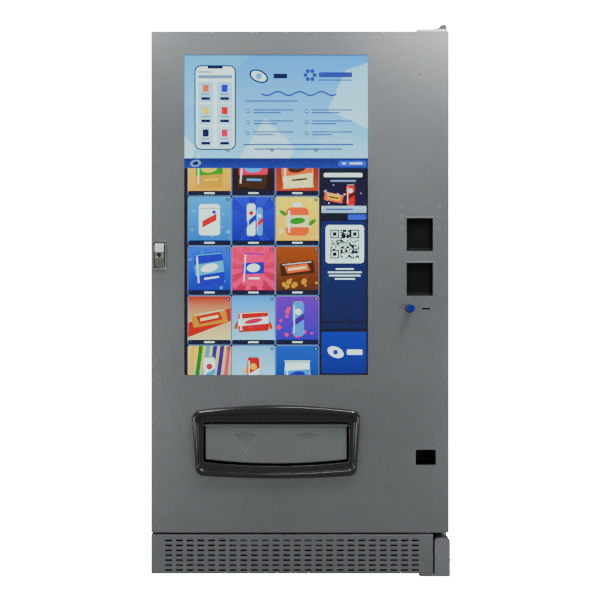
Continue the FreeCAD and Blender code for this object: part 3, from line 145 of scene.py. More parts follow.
def surface(name, colour, metallic=0.0, roughness=(0.4, 0.5), grain=900.0, grain_depth=0.1, fleck=0.12,
            cloud=0.05, coat=0.0, stretch=(1, 1, 1), specular=0.5):
    """A coated, moulded or metal surface: fine flecks, slow clouding, uneven gloss and a grain bump."""
    material, nodes, links, shader = new_material(name)
    fine = noise(nodes, links, grain, 2.0, stretch)
    slow = noise(nodes, links, 3.0, 4.0)
    flecks = ramp(nodes, links, fine, [(0.35, scaled(colour, 1 - fleck)), (0.65, scaled(colour, 1 + fleck))])
    clouds = ramp(nodes, links, slow, [(0.3, (1 - cloud,) * 3), (0.7, (1.0,) * 3)])
    links.new(multiplied(nodes, links, flecks, clouds), shader.inputs["Base Color"])
    links.new(spread(nodes, links, slow, *roughness), shader.inputs["Roughness"])
    bump = nodes.new("ShaderNodeBump")
    put(bump, {"Strength": grain_depth, "Distance": GRAIN_HEIGHT})
    links.new(fine, bump.inputs["Height"])
    links.new(bump.outputs["Normal"], shader.inputs["Normal"])
    put(shader, {
        "Metallic": metallic, "Coat Weight": coat, "Coat Roughness": 0.08, "Specular IOR Level": specular,
    })
    return material


def clear_glass(name):
    material, nodes, links, shader = new_material(name)
    put(shader, {"Base Color": (0.96, 0.98, 0.98, 1), "Transmission Weight": 1.0, "IOR": 1.45})
    links.new(spread(nodes, links, noise(nodes, links, 40.0), 0.0, 0.02), shader.inputs["Roughness"])
    return material


def lit(name, low, high, z0, z1, grain=0.03):
    """A lit picture area whose colour runs from low at z0 to high at z1, with a faint pixel grain."""
    material, nodes, links, shader = new_material(name)
    place = nodes.new("ShaderNodeTexCoord")
    split = nodes.new("ShaderNodeSeparateXYZ")
    height = nodes.new("ShaderNodeMapRange")
    put(height, {"From Min": z0, "From Max": max(z1, z0 + MM)})
    links.new(place.outputs["Object"], split.inputs["Vector"])
    links.new(split.outputs["Z"], height.inputs["Value"])
    colour = ramp(nodes, links, height.outputs["Result"], [(0.0, low), (1.0, high)])
    spots = noise(nodes, links, 1400.0, 0.0)
    pixels = ramp(nodes, links, spots, [(0.3, (1 - grain,) * 3), (0.7, (1.0,) * 3)])
    links.new(multiplied(nodes, links, colour, pixels), shader.inputs["Emission Color"])
    put(shader, {
        "Emission Strength": 1.0, "Base Color": (0.004, 0.004, 0.005, 1), "Roughness": 0.6,
        "Specular IOR Level": 0.1,
    })
    return material


def linear(red, green, blue):
    """Linear colour from 0-255 screen values."""
    return tuple(((value / 255 + 0.055) / 1.055) ** 2.4 if value > 10 else value / 255 / 12.92
                 for value in (red, green, blue))


def srgb(red, green, blue):
    """Light given off by a display area, so that it shows as those 0-255 values in the AgX view."""
    plain = linear(red, green, blue)
    grey = sum(plain) / 3
    vivid = [max(0.0, grey + (channel - grey) * VIVID) ** AGX_POWER for channel in plain]
    red, green, blue = (AGX_GAIN * channel * (1 + 2 * channel) for channel in vivid)
    return (
        max(0.0, 0.658 * red - 0.081 * green + 0.015 * blue),
        max(0.0, 0.87 * green - 0.012 * red - 0.073 * blue),
        max(0.0, 0.723 * blue - 0.004 * red - 0.04 * green),
    )


powder = surface("powder_coat", (0.19, 0.203, 0.208), metallic=0.5, roughness=(0.36, 0.46), grain=1500.0,
                 grain_depth=0.25, fleck=0.34)
cabinet_coat = surface("cabinet_coat", (0.17, 0.18, 0.19), metallic=0.3, roughness=(0.42, 0.55),
                       grain=1300.0, grain_depth=0.3, fleck=0.2)
casting = surface("casting_coat", (0.25, 0.265, 0.275), metallic=0.6, roughness=(0.34, 0.5), grain=600.0,
                  grain_depth=0.5, fleck=0.2)
zinc = surface("zinc_plate", (0.60, 0.61, 0.60), metallic=1.0, roughness=(0.22, 0.4), grain=260.0,
               grain_depth=0.05, cloud=0.15)
steel = surface("drawn_steel", (0.56, 0.56, 0.56), metallic=1.0, roughness=(0.2, 0.34), grain_depth=0.08,
                fleck=0.1)
chrome = surface("chrome_plate", (0.78, 0.78, 0.78), metallic=1.0, roughness=(0.05, 0.12), grain=500.0,
                 grain_depth=0.01, fleck=0.02)
aluminium = surface("fin_aluminium", (0.72, 0.73, 0.74), metallic=1.0, roughness=(0.3, 0.45), grain=700.0,
                    fleck=0.1, stretch=(1, 1, 0.1))
liner_plastic = surface("liner_plastic", (0.74, 0.755, 0.76), roughness=(0.35, 0.5), grain=1100.0,
                        grain_depth=0.15, fleck=0.03, cloud=0.04)
foam = surface("foam", (0.78, 0.70, 0.48), roughness=(0.8, 0.9), grain=500.0, grain_depth=0.6, fleck=0.08)
rubber = surface("rubber", (0.03, 0.03, 0.031), roughness=(0.55, 0.7), grain_depth=0.2, fleck=0.2)
bezel_gloss = surface("bezel_gloss", (0.013, 0.012, 0.0105), roughness=(0.12, 0.2), grain=700.0,
                      grain_depth=0.05, fleck=0.15, coat=0.6)
flap_grain = surface("flap_grain", (0.155, 0.166, 0.168), roughness=(0.3, 0.38), grain=1500.0,
                     grain_depth=0.3, fleck=0.08, specular=0.4)
black_plastic = surface("black_plastic", (0.011, 0.012, 0.0125), roughness=(0.4, 0.55), grain=1300.0,
                        grain_depth=0.3, fleck=0.2)
black_enamel = surface("black_enamel", (0.016, 0.016, 0.017), roughness=(0.28, 0.42), grain=400.0,
                       grain_depth=0.15, fleck=0.15)
blue_gloss = surface("blue_gloss", (0.001, 0.003, 0.27), roughness=(0.18, 0.28), grain=600.0,
                     grain_depth=0.03, fleck=0.06, coat=0.5)
bronze = surface("bronze", (0.50, 0.34, 0.16), metallic=1.0, roughness=(0.35, 0.5), fleck=0.15)
tray_coat = surface("tray_coat", (0.62, 0.635, 0.64), roughness=(0.35, 0.45), grain=1300.0, grain_depth=0.2,
                    fleck=0.04)
# The lock handle's face plates: dark olive for the lower one, a painted reflection of shade; near white for
# the upper one, a painted reflection of light.
olive_painted_shade = surface("olive_painted_shade", (0.155, 0.155, 0.12), metallic=0.7, roughness=(0.35, 0.5), grain=800.0,
                     grain_depth=0.3, fleck=0.2)
satin_painted_highlight = surface("satin_painted_highlight", (0.93, 0.93, 0.92), metallic=0.25, roughness=(0.3, 0.42),
                       grain=420.0, grain_depth=0.25, fleck=0.07)
copper = surface("copper", (0.62, 0.30, 0.18), metallic=1.0, roughness=(0.25, 0.4), grain=400.0)
# Pale paint, much lighter than the door coat, for the stud pips, rivet heads and ribs: painted glints on
# these small raised marks.
glint_pale_paint = surface("glint_pale_paint", (0.44, 0.46, 0.47), metallic=0.35, roughness=(0.3, 0.42), grain=1500.0,
                    grain_depth=0.2, fleck=0.2)
payment_black = surface("payment_black", (0.004, 0.0044, 0.0048), roughness=(0.5, 0.6), grain=1300.0,
                        grain_depth=0.2, fleck=0.2, specular=0.12)
channel_plastic = surface("channel_plastic", (0.08, 0.085, 0.09), roughness=(0.3, 0.4), fleck=0.1)
label_card = surface("label_card", (0.82, 0.82, 0.8), roughness=(0.5, 0.6), grain=1200.0, fleck=0.04)
panel_glass = clear_glass("display_glass_clear")
screen_dark = lit("screen_dark", srgb(2, 9, 22), srgb(3, 12, 30), panel.z0, panel.z1)

FINISHES = (
    (cabinet_coat, "cabinet_shell rear_cover control_box"),
    (powder, "door_skin kick_panel"),
    (foam, "cabinet_insulation door_insulation"),
    (liner_plastic, "cabinet_liner evaporator_housing door_inner_panel"),
    (black_enamel, "base_frame upper_hinge_arm compressor fan_shroud display_housing delivery_bin"),
    (black_enamel, "lock_cylinder"),
    (black_plastic, "power_inlet condenser_fan evaporator_fan coin_mech button_guide"),
    (payment_black, "payment_blanks coin_chutes coin_cup"),
    (zinc, "leveling_feet tray_rails latch_nut lock_housing door_hinge_plates"),
    (aluminium, "condenser_coil evaporator_coil"),
    (chrome, "hinge_pins lock_handle"),
    (steel, "flap_rod lock_bolt"),
    (casting, "lower_hinge_bracket"),
    (rubber, "door_gasket"),
    (bronze, "hinge_bushings"),
    (panel_glass, "display_glass"),
    (screen_dark, "display_panel"),
    (bezel_gloss, "delivery_bezel"),
    (flap_grain, "delivery_flap"),
    (blue_gloss, "coin_return_button"),
)
NODE_MATERIALS = {node: material for material, nodes in FINISHES for node in nodes.split()}
for node, node_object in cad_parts.items():
    if node.startswith("spiral_"):
        finish = steel
    elif node.startswith("tray_") and node != "tray_rails":
        finish = tray_coat
    else:
        finish = NODE_MATERIALS[node]
    node_object.data.materials.clear()
    node_object.data.materials.append(finish)


# ---------------------------------------------------------------- mesh helpers
def new_object(name, data):
    made = bpy.data.objects.new(name, data)
    bpy.context.scene.collection.objects.link(made)
    return made


def add_piece(name, data, material, body):
    """A mesh or curve as a piece of a body."""
    data.materials.append(material)
    piece = new_object(name, data)
    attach(piece, body)
    return piece


def mesh_from(bm, name):
    mesh = bpy.data.meshes.new(name)
    bm.to_mesh(mesh)
    bm.free()
    return mesh


def bridge(bm, rings):
    """Four-sided faces between each ring of points and the next."""
    for low, high in zip(rings, rings[1:]):
        for step in range(len(low)):
            after = (step + 1) % len(low)
            bm.faces.new((low[step], low[after], high[after], high[step]))


def arc(x, y, radius, start, turn, count):
    """Points on an arc: the first at start degrees, each a turn farther than the last."""
    angles = [math.radians(start + turn * step) for step in range(count)]
    return [(x + radius * math.cos(angle), y + radius * math.sin(angle)) for angle in angles]


class Plates:
    """Flat closed plates that face the front, gathered into one mesh."""

    def __init__(self):
        self.bm = bmesh.new()

    def add(self, outline, y_front, thickness):
        """outline holds (x, z) points, counter-clockwise seen from the front."""
        front = [self.bm.verts.new((x, y_front, z)) for x, z in outline]
        back = [self.bm.verts.new((x, y_front + thickness, z)) for x, z in outline]
        self.bm.faces.new(front)
        self.bm.faces.new(back[::-1])
        for index, start in enumerate(front):
            following = (index + 1) % len(front)
            self.bm.faces.new((front[following], start, back[index], back[following]))

    def mesh(self, name):
        bmesh.ops.recalc_face_normals(self.bm, faces=self.bm.faces)
        return mesh_from(self.bm, name)

    def piece(self, name, material, body, slot):
        return add_piece(name, self.mesh(name), material, body)


# ---------------------------------------------------------------- the picture on the display
GLASS_LAP = 10 * MM  # how far the glass reaches behind the door skin
PICTURE_LEFT = glass.x0 + GLASS_LAP
PICTURE_TOP = glass.z1 - GLASS_LAP
UNIT = (glass.wide - 2 * GLASS_LAP) / 100  # the picture is 100 units wide
PICTURE_BOTTOM = (glass.tall - 2 * GLASS_LAP) / UNIT  # in units down from the top
LAYER = 0.17 * MM
INK_THICKNESS = 0.12 * MM


def picture_z(y):
    return PICTURE_TOP - y * UNIT


def clipped(points):
    """Cut an outline off at the picture's bottom edge."""
    kept = []
    for index, here in enumerate(points):
        before = points[index - 1]
        if (here[1] <= PICTURE_BOTTOM) != (before[1] <= PICTURE_BOTTOM):
            share = (PICTURE_BOTTOM - before[1]) / (here[1] - before[1])
            kept.append((before[0] + share * (here[0] - before[0]), PICTURE_BOTTOM))
        if here[1] <= PICTURE_BOTTOM:
            kept.append(here)
    return kept


def placer(x, y, wide, tall, lean):
    """A function that sizes and leans the points of a unit drawing and puts them round (x, y)."""
    turn = math.radians(lean)

    def placed(local):
        return [(
            x + px * wide * math.cos(turn) - py * tall * math.sin(turn),
            y + px * wide * math.sin(turn) + py * tall * math.cos(turn),
        ) for px, py in local]

    return placed


class Picture:
    """Inks and the flat shapes drawn with them. Places are in units right of and down from the top left."""

    def __init__(self):
        self.inks = {}
        self.plates = {}

    def ink(self, name, colour, end=None, top=0.0, bottom=PICTURE_BOTTOM):
        """Name an ink that runs from colour at top to end at bottom."""
        low = srgb(*(end or colour))
        high = srgb(*colour)
        self.inks[name] = lit(f"ink_{name}", low, high, picture_z(bottom), picture_z(top))
        self.plates[name] = Plates()
        return name

    def shape(self, ink, points, layer):
        outline = [(PICTURE_LEFT + x * UNIT, picture_z(y)) for x, y in clipped(points)]
        if len(outline) > 2:
            self.plates[ink].add(outline[::-1], panel.y0 - (layer + 1) * LAYER, INK_THICKNESS)

    def rect(self, ink, x0, y0, x1, y1, layer, radius=0.0):
        if radius <= 0:
            self.shape(ink, [(x0, y0), (x1, y0), (x1, y1), (x0, y1)], layer)
            return
        corners = ((x0 + radius, y0 + radius, 180), (x1 - radius, y0 + radius, 270),
                   (x1 - radius, y1 - radius, 0), (x0 + radius, y1 - radius, 90))
        points = []
        for x, y, start in corners:
            points += arc(x, y, radius, start, 22.5, 5)
        self.shape(ink, points, layer)

    def ellipse(self, ink, x, y, rx, ry, layer, turn=0.0, sides=26):
        circle = arc(0, 0, 1, 0, 360 / sides, sides)
        self.shape(ink, placer(x, y, rx, ry, turn)(circle), layer)

    def finish(self):
        for name, plates in self.plates.items():
            if plates.bm.faces:
                plates.piece(f"picture_{name}", self.inks[name], DOOR, "screen")
            else:
                plates.bm.free()


art = Picture()


def crimped_bag(x, y, wide, tall, body, band, mark, layer, lean=0.0):
    """A pillow bag: crimped ends, pinched sides, a label band and a round mark."""
    teeth = 9
    points = []
    for step in range(teeth * 2 + 1):
        points.append((-0.5 + step / (teeth * 2), -0.5 + (0.02 if step % 2 else 0.0)))
    points += [(0.47, -0.42), (0.5, -0.1), (0.5, 0.1), (0.47, 0.42)]
    for step in range(teeth * 2 + 1):
        points.append((0.5 - step / (teeth * 2), 0.5 - (0.02 if step % 2 else 0.0)))
    points += [(-0.47, 0.42), (-0.5, 0.1), (-0.5, -0.1), (-0.47, -0.42)]
    placed = placer(x, y, wide, tall, lean)
    art.shape(body, placed(points), layer)
    art.shape(band, placed([(-0.49, -0.16), (0.49, -0.22), (0.49, 0.12), (-0.49, 0.18)]), layer + 1)
    art.ellipse(mark, x, y - tall * 0.03, wide * 0.3, tall * 0.12, layer + 2, lean - 8)
    art.shape("gleam", placed([(-0.42, -0.4), (-0.36, -0.41), (-0.38, 0.4), (-0.43, 0.39)]), layer + 2)
    art.shape(band, placed([(-0.46, -0.46), (0.46, -0.46), (0.46, -0.43), (-0.46, -0.43)]), layer + 1)
    art.shape(mark, placed([(-0.2, 0.26), (0.3, 0.24), (0.3, 0.29), (-0.2, 0.31)]), layer + 1)


def slim_can(x, y, wide, tall, body, stripe, mark, layer):
    """A drink can with a shoulder, a slanting stripe and a round mark."""
    half = wide / 2
    neck = half * 0.78
    top = y - tall / 2
    low = y + tall / 2
    art.shape("can_rim", [(x - neck, top), (x + neck, top), (x + neck, low), (x - neck, low)], layer)
    art.shape(body, [
        (x - half, top + tall * 0.09), (x - neck, top + tall * 0.03), (x + neck, top + tall * 0.03),
        (x + half, top + tall * 0.09), (x + half, low - tall * 0.07), (x + neck, low - tall * 0.02),
        (x - neck, low - tall * 0.02), (x - half, low - tall * 0.07),
    ], layer + 1)
    art.shape(stripe, [
        (x - half, y + tall * 0.06), (x + half, y - tall * 0.16), (x + half, y + tall * 0.02),
        (x - half, y + tall * 0.24),
    ], layer + 2)
    art.ellipse(mark, x, y - tall * 0.2, half * 0.55, half * 0.55, layer + 2)
    art.rect("gleam", x - half * 0.8, top + tall * 0.12, x - half * 0.6, low - tall * 0.1, layer + 3)


def snack_bar(x, y, wide, tall, body, band, mark, layer, lean=-6.0):
    """A bar in a flow wrapper with crimped ends."""
    points = [(-0.44, -0.5), (0.44, -0.5)]
    for step in range(7):
        points.append((0.5 if step % 2 == 0 else 0.475, -0.42 + 0.14 * step))
    points += [(0.44, 0.5), (-0.44, 0.5)]
    for step in range(7):
        points.append((-0.5 if step % 2 == 0 else -0.475, 0.42 - 0.14 * step))
    placed = placer(x, y, wide, tall, lean)
    art.shape(body, placed(points), layer)
    art.shape(band, placed([(-0.36, -0.26), (0.3, -0.32), (0.36, 0.26), (-0.3, 0.32)]), layer + 1)
    art.shape(mark, placed([(-0.26, -0.08), (0.26, -0.12), (0.26, 0.08), (-0.26, 0.12)]), layer + 2)
    art.shape("gleam", placed([(-0.42, -0.42), (0.42, -0.42), (0.42, -0.37), (-0.42, -0.37)]), layer + 2)


def squat_bottle(x, y, wide, tall, body, band, mark, layer):
    """A wide bottle with a cap, a label and a round mark."""
    half = wide / 2
    top = y - tall / 2
    low = y + tall / 2
    art.rect("white", x - half * 0.4, top, x + half * 0.4, top + tall * 0.12, layer, 0.3)
    art.rect(body, x - half, top + tall * 0.14, x + half, low, layer, half * 0.45)
    art.rect(band, x - half, y - tall * 0.12, x + half, y + tall * 0.24, layer + 1, 0.3)
    art.ellipse(mark, x, y + tall * 0.05, half * 0.7, tall * 0.1, layer + 2, -6)
    art.rect("gleam", x - half * 0.8, top + tall * 0.24, x - half * 0.64, low - tall * 0.1, layer + 2)


def square_pack(x, y, wide, tall, body, band, mark, layer):
    """A small tin or box with a coloured corner and a lid line."""
    art.rect(body, x - wide / 2, y - tall / 2, x + wide / 2, y + tall / 2, layer, wide * 0.14)
    art.shape(band, [
        (x - wide * 0.34, y + tall * 0.04), (x + wide * 0.34, y - tall * 0.2),
        (x + wide * 0.34, y + tall * 0.02), (x - wide * 0.34, y + tall * 0.26),
    ], layer + 1)
    art.rect("shade", x - wide / 2, y - tall * 0.36, x + wide / 2, y - tall * 0.34, layer + 1)
    art.ellipse(mark, x + wide * 0.22, y - tall * 0.24, wide * 0.09, wide * 0.09, layer + 2)


def rays(ink, room, layer, count):
    """Wedges that open from the middle of a room to its edges."""
    x0, y0, x1, y1 = room
    x = (x0 + x1) / 2
    y = (y0 + y1) / 2
    reach_x = (x1 - x0) / 2
    reach_y = (y1 - y0) / 2
    for step in range(count):
        corners = [(x, y)]
        for edge in (0.0, 0.42):
            angle = 2 * math.pi * (step + edge) / count
            along = (math.cos(angle), math.sin(angle))
            far = min(reach_x / max(abs(along[0]), 1e-6), reach_y / max(abs(along[1]), 1e-6))
            corners.append((x + along[0] * far, y + along[1] * far))
        art.shape(ink, corners, layer)


def dots(ink, room, layer, count, size, seed):
    """Scattered spots of light or crumbs in a room, given as (x0, y0, x1, y1)."""
    x0, y0, x1, y1 = room
    source = random.Random(seed)
    for _ in range(count):
        radius = size * source.uniform(0.4, 1.0)
        art.ellipse(
            ink, source.uniform(x0 + radius, x1 - radius), source.uniform(y0 + radius, y1 - radius),
            radius, radius, layer, sides=12,
        )


def arcs(inks, x, y, radius, step, layer):
    """Half rings, one inside the other."""
    for index, ink in enumerate(inks):
        outer = radius - index * step
        inner = outer - step
        points = []
        for turn in range(13):
            angle = math.pi * (1 + turn / 12)
            points.append((x + outer * math.cos(angle), y + outer * math.sin(angle) * 0.8))
        for turn in range(13):
            angle = math.pi * (2 - turn / 12)
            points.append((x + inner * math.cos(angle), y + inner * math.sin(angle) * 0.8))
        art.shape(ink, points, layer)


# Inks for the whole picture: the colour at its top, and at its bottom where that differs
INKS = {
    "white": ((246, 250, 252),),
    "gleam": ((236, 242, 248),),
    "shade": ((120, 132, 146),),
    "night": ((8, 20, 44), (5, 14, 32)),
    "navy": ((22, 36, 92), (20, 46, 104)),
    "label_navy": ((14, 26, 70), (12, 24, 66)),
    "outline": ((150, 170, 205),),
    "line_blue": ((76, 104, 176),),
    "can_rim": ((196, 202, 208), (150, 156, 164)),
    "red": ((226, 30, 38), (196, 16, 30)),
    "dark_red": ((140, 12, 24), (112, 8, 20)),
    "yellow": ((252, 214, 44), (246, 190, 30)),
    "orange": ((244, 134, 40), (226, 104, 22)),
    "green": ((74, 170, 74), (44, 138, 56)),
    "blue": ((36, 92, 204), (24, 70, 180)),
    "sky": ((108, 196, 240), (70, 168, 226)),
    "cyan": ((70, 208, 232), (38, 176, 214)),
    "pink": ((248, 96, 162), (232, 52, 132)),
    "magenta": ((232, 30, 116), (206, 16, 100)),
    "purple": ((120, 56, 176), (88, 40, 150)),
    "brown": ((96, 52, 26), (70, 36, 18)),
    "gold": ((232, 184, 74), (206, 148, 46)),
    "cream": ((250, 236, 206), (242, 222, 180)),
}
for ink_name, ink_colours in INKS.items():
    art.ink(ink_name, *ink_colours)

# Top panel: pale blue with soft facets, a phone, an emblem and rows of plain bars for words
TOP_PANEL_END = 56.1
HEADER_END = 61.6
art.ink("advert", (112, 186, 240), (176, 222, 250), 0, TOP_PANEL_END)
art.ink("facet_a", (128, 200, 240), (190, 224, 248), 0, TOP_PANEL_END)
art.ink("facet_b", (178, 222, 246), (222, 238, 252), 0, TOP_PANEL_END)
art.rect("night", -1.2, -1.2, 101.2, PICTURE_BOTTOM, 0)
art.rect("advert", 0, 0, 100, TOP_PANEL_END, 4)
art.shape("facet_a", [(0, 0), (36, 0), (12, 22), (0, 30)], 5)
art.shape("facet_b", [(100, 4), (100, 40), (78, 30), (88, 8)], 5)
art.shape("facet_a", [(62, 56.1), (80, 38), (100, 48), (100, 56.1)], 5)
art.shape("facet_b", [(30, 56.1), (44, 34), (60, 50), (58, 56.1)], 5)
art.shape("facet_b", [(0, 56.1), (0, 44), (6, 50), (4, 56.1)], 5)


def phone(x0, y0, x1, y1):
    """A phone with a shopping page: search bar and two columns of cards."""
    art.rect("navy", x0, y0, x1, y1, 6, 3.4)
    art.rect("white", x0 + 0.7, y0 + 0.7, x1 - 0.7, y1 - 0.7, 7, 2.8)
    middle = (x0 + x1) / 2
    art.rect("navy", middle - 4.2, y0 + 0.5, middle + 4.2, y0 + 1.9, 8, 0.65)
    art.rect("shade", x0 + 2, y0 + 3.4, x0 + 9, y0 + 4.0, 8)
    art.rect("outline", x0 + 2, y0 + 5.4, x1 - 2, y0 + 7.2, 8, 0.6)
    card_wide = (x1 - x0 - 6) / 2
    tints = ("orange", "blue", "yellow", "red", "navy", "magenta")
    for index, tint in enumerate(tints):
        column = index % 2
        row = index // 2
        left = x0 + 2 + column * (card_wide + 2)
        top = y0 + 9.2 + row * 12.2
        art.rect("facet_b", left, top, left + card_wide, top + 11.2, 8, 0.6)
        art.rect(tint, left + card_wide * 0.3, top + 1.4, left + card_wide * 0.7, top + 5.4, 9, 0.4)
        art.rect("shade", left + card_wide * 0.22, top + 6.4, left + card_wide * 0.78, top + 6.9, 9)
        art.rect("navy", left + card_wide * 0.2, top + 8.2, left + card_wide * 0.8, top + 9.8, 9, 0.5)


def emblem(x, y, size, layer, ring="navy", core="sky"):
    """A plain leaf-shaped sign: two ovals and a dot."""
    art.ellipse(ring, x, y, size, size * 0.62, layer, 24)
    art.ellipse("white", x, y, size * 0.82, size * 0.46, layer + 1, 24)
    art.ellipse(core, x, y, size * 0.3, size * 0.3, layer + 2)


phone(5.4, 5.4, 28.0, 51.6)
emblem(40.5, 11.4, 5.4, 6)
art.rect("navy", 48.5, 10.0, 56.0, 12.6, 6, 0.5)
for spoke_x, spoke_y in arc(68.5, 10.8, 2.5, 0, 60, 6):
    art.ellipse("line_blue", spoke_x, spoke_y, 1.15, 1.15, 6, sides=14)
art.rect("line_blue", 73.2, 9.2, 91.5, 12.0, 6, 0.8)
art.rect("line_blue", 73.2, 13.2, 91.5, 13.8, 6)
wave = []
for step in range(25):
    wave.append((42 + step * 1.7, 20.4 + 1.1 * math.sin(step * 0.9)))
for step in range(24, -1, -1):
    wave.append((42 + step * 1.7, 21.3 + 1.1 * math.sin(step * 0.9)))
art.shape("line_blue", wave, 6)
art.rect("line_blue", 33.0, 24.6, 62.0, 25.2, 6)
for column_x in (34.5, 66.6):
    for row in range(3):
        row_y = 30.5 + row * 6.0
        art.ellipse("line_blue", column_x, row_y, 1.1, 1.1, 6, sides=16)
        art.ellipse("white", column_x, row_y, 0.5, 0.5, 7, sides=12)
        art.rect("line_blue", column_x + 3, row_y - 1.0, column_x + 25, row_y - 0.4, 6)
        art.rect("line_blue", column_x + 3, row_y + 0.5, column_x + 18 - row * 2, row_y + 1.1, 6)
art.rect("line_blue", 32.0, 48.3, 92.0, 49.0, 6)
art.rect("line_blue", 38.0, 50.8, 86.0, 51.5, 6)

# Header bar
art.ink("header", (40, 62, 132), (60, 96, 172), TOP_PANEL_END, HEADER_END)
art.rect("header", 0, TOP_PANEL_END, 100, HEADER_END, 5)
art.ellipse("outline", 6.0, 58.9, 3.0, 1.9, 6, -10)
art.ellipse("navy", 6.0, 58.9, 1.6, 1.0, 7, -10)
art.ink("pill", (82, 132, 220), (66, 112, 206))
art.rect("pill", 83.8, 57.4, 99.2, 60.6, 6, 1.0)
art.rect("white", 86.0, 58.6, 88.0, 59.4, 7, 0.3)
art.rect("white", 90.0, 58.6, 97.0, 59.4, 7, 0.3)

# Product tiles
TILE_LEFT = 1.9
TILE_WIDE = 23.3
TILE_STEP = 24.0
ROW_TOP = 50.2
ROW_STEP = 27.1
TILE_TALL = 26.4
LABEL_TALL = 2.7


def tile_box(row, column):
    x0 = TILE_LEFT + column * TILE_STEP
    y0 = ROW_TOP + row * ROW_STEP
    return x0, y0, x0 + TILE_WIDE, y0 + TILE_TALL


TILE_COLOURS = [
    [((250, 206, 60), (236, 178, 30)), ((58, 22, 18), (30, 10, 10)), ((120, 20, 16), (206, 92, 30))],
    [((60, 180, 226), (28, 140, 206)), ((26, 110, 214), (12, 66, 160)), ((254, 224, 70), (246, 196, 40))],
    [((30, 140, 226), (14, 74, 176)), ((236, 34, 122), (190, 10, 96)), ((176, 96, 44), (96, 44, 18))],
    [((196, 30, 36), (244, 224, 190)), ((84, 180, 236), (186, 226, 246)), ((136, 60, 190), (40, 60, 190))],
    [((250, 210, 70), (90, 190, 200)), ((150, 204, 238), (206, 232, 248)), ((28, 120, 196), (16, 76, 150))],
]
for tile_row, colours in enumerate(TILE_COLOURS):
    for tile_column, (upper, lower) in enumerate(colours):
        tx0, ty0, tx1, ty1 = tile_box(tile_row, tile_column)
        back = art.ink(f"tile_{tile_row}_{tile_column}", upper, lower, ty0, ty1)
        art.rect("outline", tx0 - 0.25, ty0 - 0.25, tx1 + 0.25, ty1 + 0.25, 0.5, 1.0)
        art.rect(back, tx0, ty0, tx1, ty1, 1, 0.8)
        art.rect("label_navy", tx0, ty1 - LABEL_TALL, tx1, ty1, 7, 0.8)
        art.rect("white", tx0 + 8.8, ty1 - 1.8, tx1 - 8.8, ty1 - 1.0, 7.5, 0.3)
        art.ellipse("label_navy", tx1 - 1.5, ty0 + 1.5, 0.95, 0.95, 7, sides=16)
        art.rect("white", tx1 - 1.62, ty0 + 1.0, tx1 - 1.38, ty0 + 2.0, 7.5)


def tile_room(row, column):
    """The tile's box above its label, and the middle of that box."""
    x0, y0, x1, y1 = tile_box(row, column)
    y1 -= LABEL_TALL
    return (x0, y0, x1, y1), (x0 + x1) / 2, (y0 + y1) / 2


def fill_tiles():
    """The goods and the effects behind them, row by row."""
    bags = (
        (15, "gold", "green", "yellow", 0), (16, "brown", "magenta", "sky", 4),
        (17, "cream", "orange", "brown", -3),
    )
    for column, (wide, body, band, mark, lean) in enumerate(bags):
        _, x, y = tile_room(0, column)
        crimped_bag(x, y, wide, 21, body, band, mark, 2, lean)

    room, x, y = tile_room(1, 0)
    dots("cyan", room, 1.5, 16, 1.2, 11)
    square_pack(x, y + 0.5, 11.5, 17, "white", "red", "blue", 2)
    room, x, y = tile_room(1, 1)
    rays("blue", room, 1.5, 7)
    slim_can(x - 1.2, y + 0.5, 4.6, 18, "white", "blue", "red", 2)
    slim_can(x + 3.4, y + 1.5, 3.4, 15, "sky", "red", "white", 2)
    room, x, y = tile_room(1, 2)
    dots("cream", room, 1.5, 10, 1.5, 12)
    squat_bottle(x, y + 0.3, 12.5, 18, "orange", "cream", "green", 2)
    art.ellipse("green", x - 7.5, y - 3, 2.6, 1.1, 2, 34)
    art.ellipse("green", x + 8.0, y + 2, 2.6, 1.1, 2, -40)

    room, x, y = tile_room(2, 0)
    dots("sky", room, 1.5, 18, 1.0, 13)
    crimped_bag(x, y + 0.3, 16, 18, "blue", "cyan", "white", 2, -5)
    room, x, y = tile_room(2, 1)
    rays("pink", room, 1.5, 11)
    crimped_bag(x, y + 0.3, 12, 18.5, "pink", "blue", "white", 2, 3)
    room, x, y = tile_room(2, 2)
    dots("gold", (room[0], y + 5, room[2], room[3]), 1.5, 12, 1.5, 14)
    snack_bar(x, y, 19, 7, "brown", "orange", "cream", 2)

    (x0, _, x1, y1), x, y = tile_room(3, 0)
    art.shape("red", [(x0, y1 - 9.3), (x1, y1 - 17.3), (x1, y1 - 10.3), (x0, y1 - 1.3)], 1.5)
    snack_bar(x, y, 19.5, 7.6, "gold", "red", "cream", 2, -10)
    _, x, y = tile_room(3, 1)
    arcs(("red", "orange", "yellow", "green", "blue", "purple"), x, y + 6, 10.5, 1.0, 1.5)
    crimped_bag(x, y + 2.0, 17, 11, "red", "white", "magenta", 2, -3)
    room, x, y = tile_room(3, 2)
    dots("pink", room, 1.5, 12, 1.3, 15)
    slim_can(x + 0.5, y + 0.4, 6.2, 19, "sky", "purple", "white", 2)

    (x0, y0, x1, _), x, y = tile_room(4, 0)
    for index, ink in enumerate(("yellow", "green", "cyan", "blue", "purple", "pink")):
        left = x0 + index * TILE_WIDE / 6
        right = min(left + 4.4, x1)
        art.shape(ink, [(left + 2, y0), (right, y0), (left + 2.2, y0 + 16), (left, y0 + 16)], 1.5)
    slim_can(x, y + 3, 6.2, 18, "white", "cyan", "magenta", 2)
    (x0, _, x1, _), x, y = tile_room(4, 1)
    dots("yellow", (x0 + 3, y - 2, x1 - 3, y + 4), 1.5, 9, 2.2, 16)
    slim_can(x, y + 3, 6.6, 18, "red", "white", "yellow", 2)
    _, x, y = tile_room(4, 2)
    crimped_bag(x, y + 4.5, 14, 17, "white", "sky", "blue", 2)


fill_tiles()

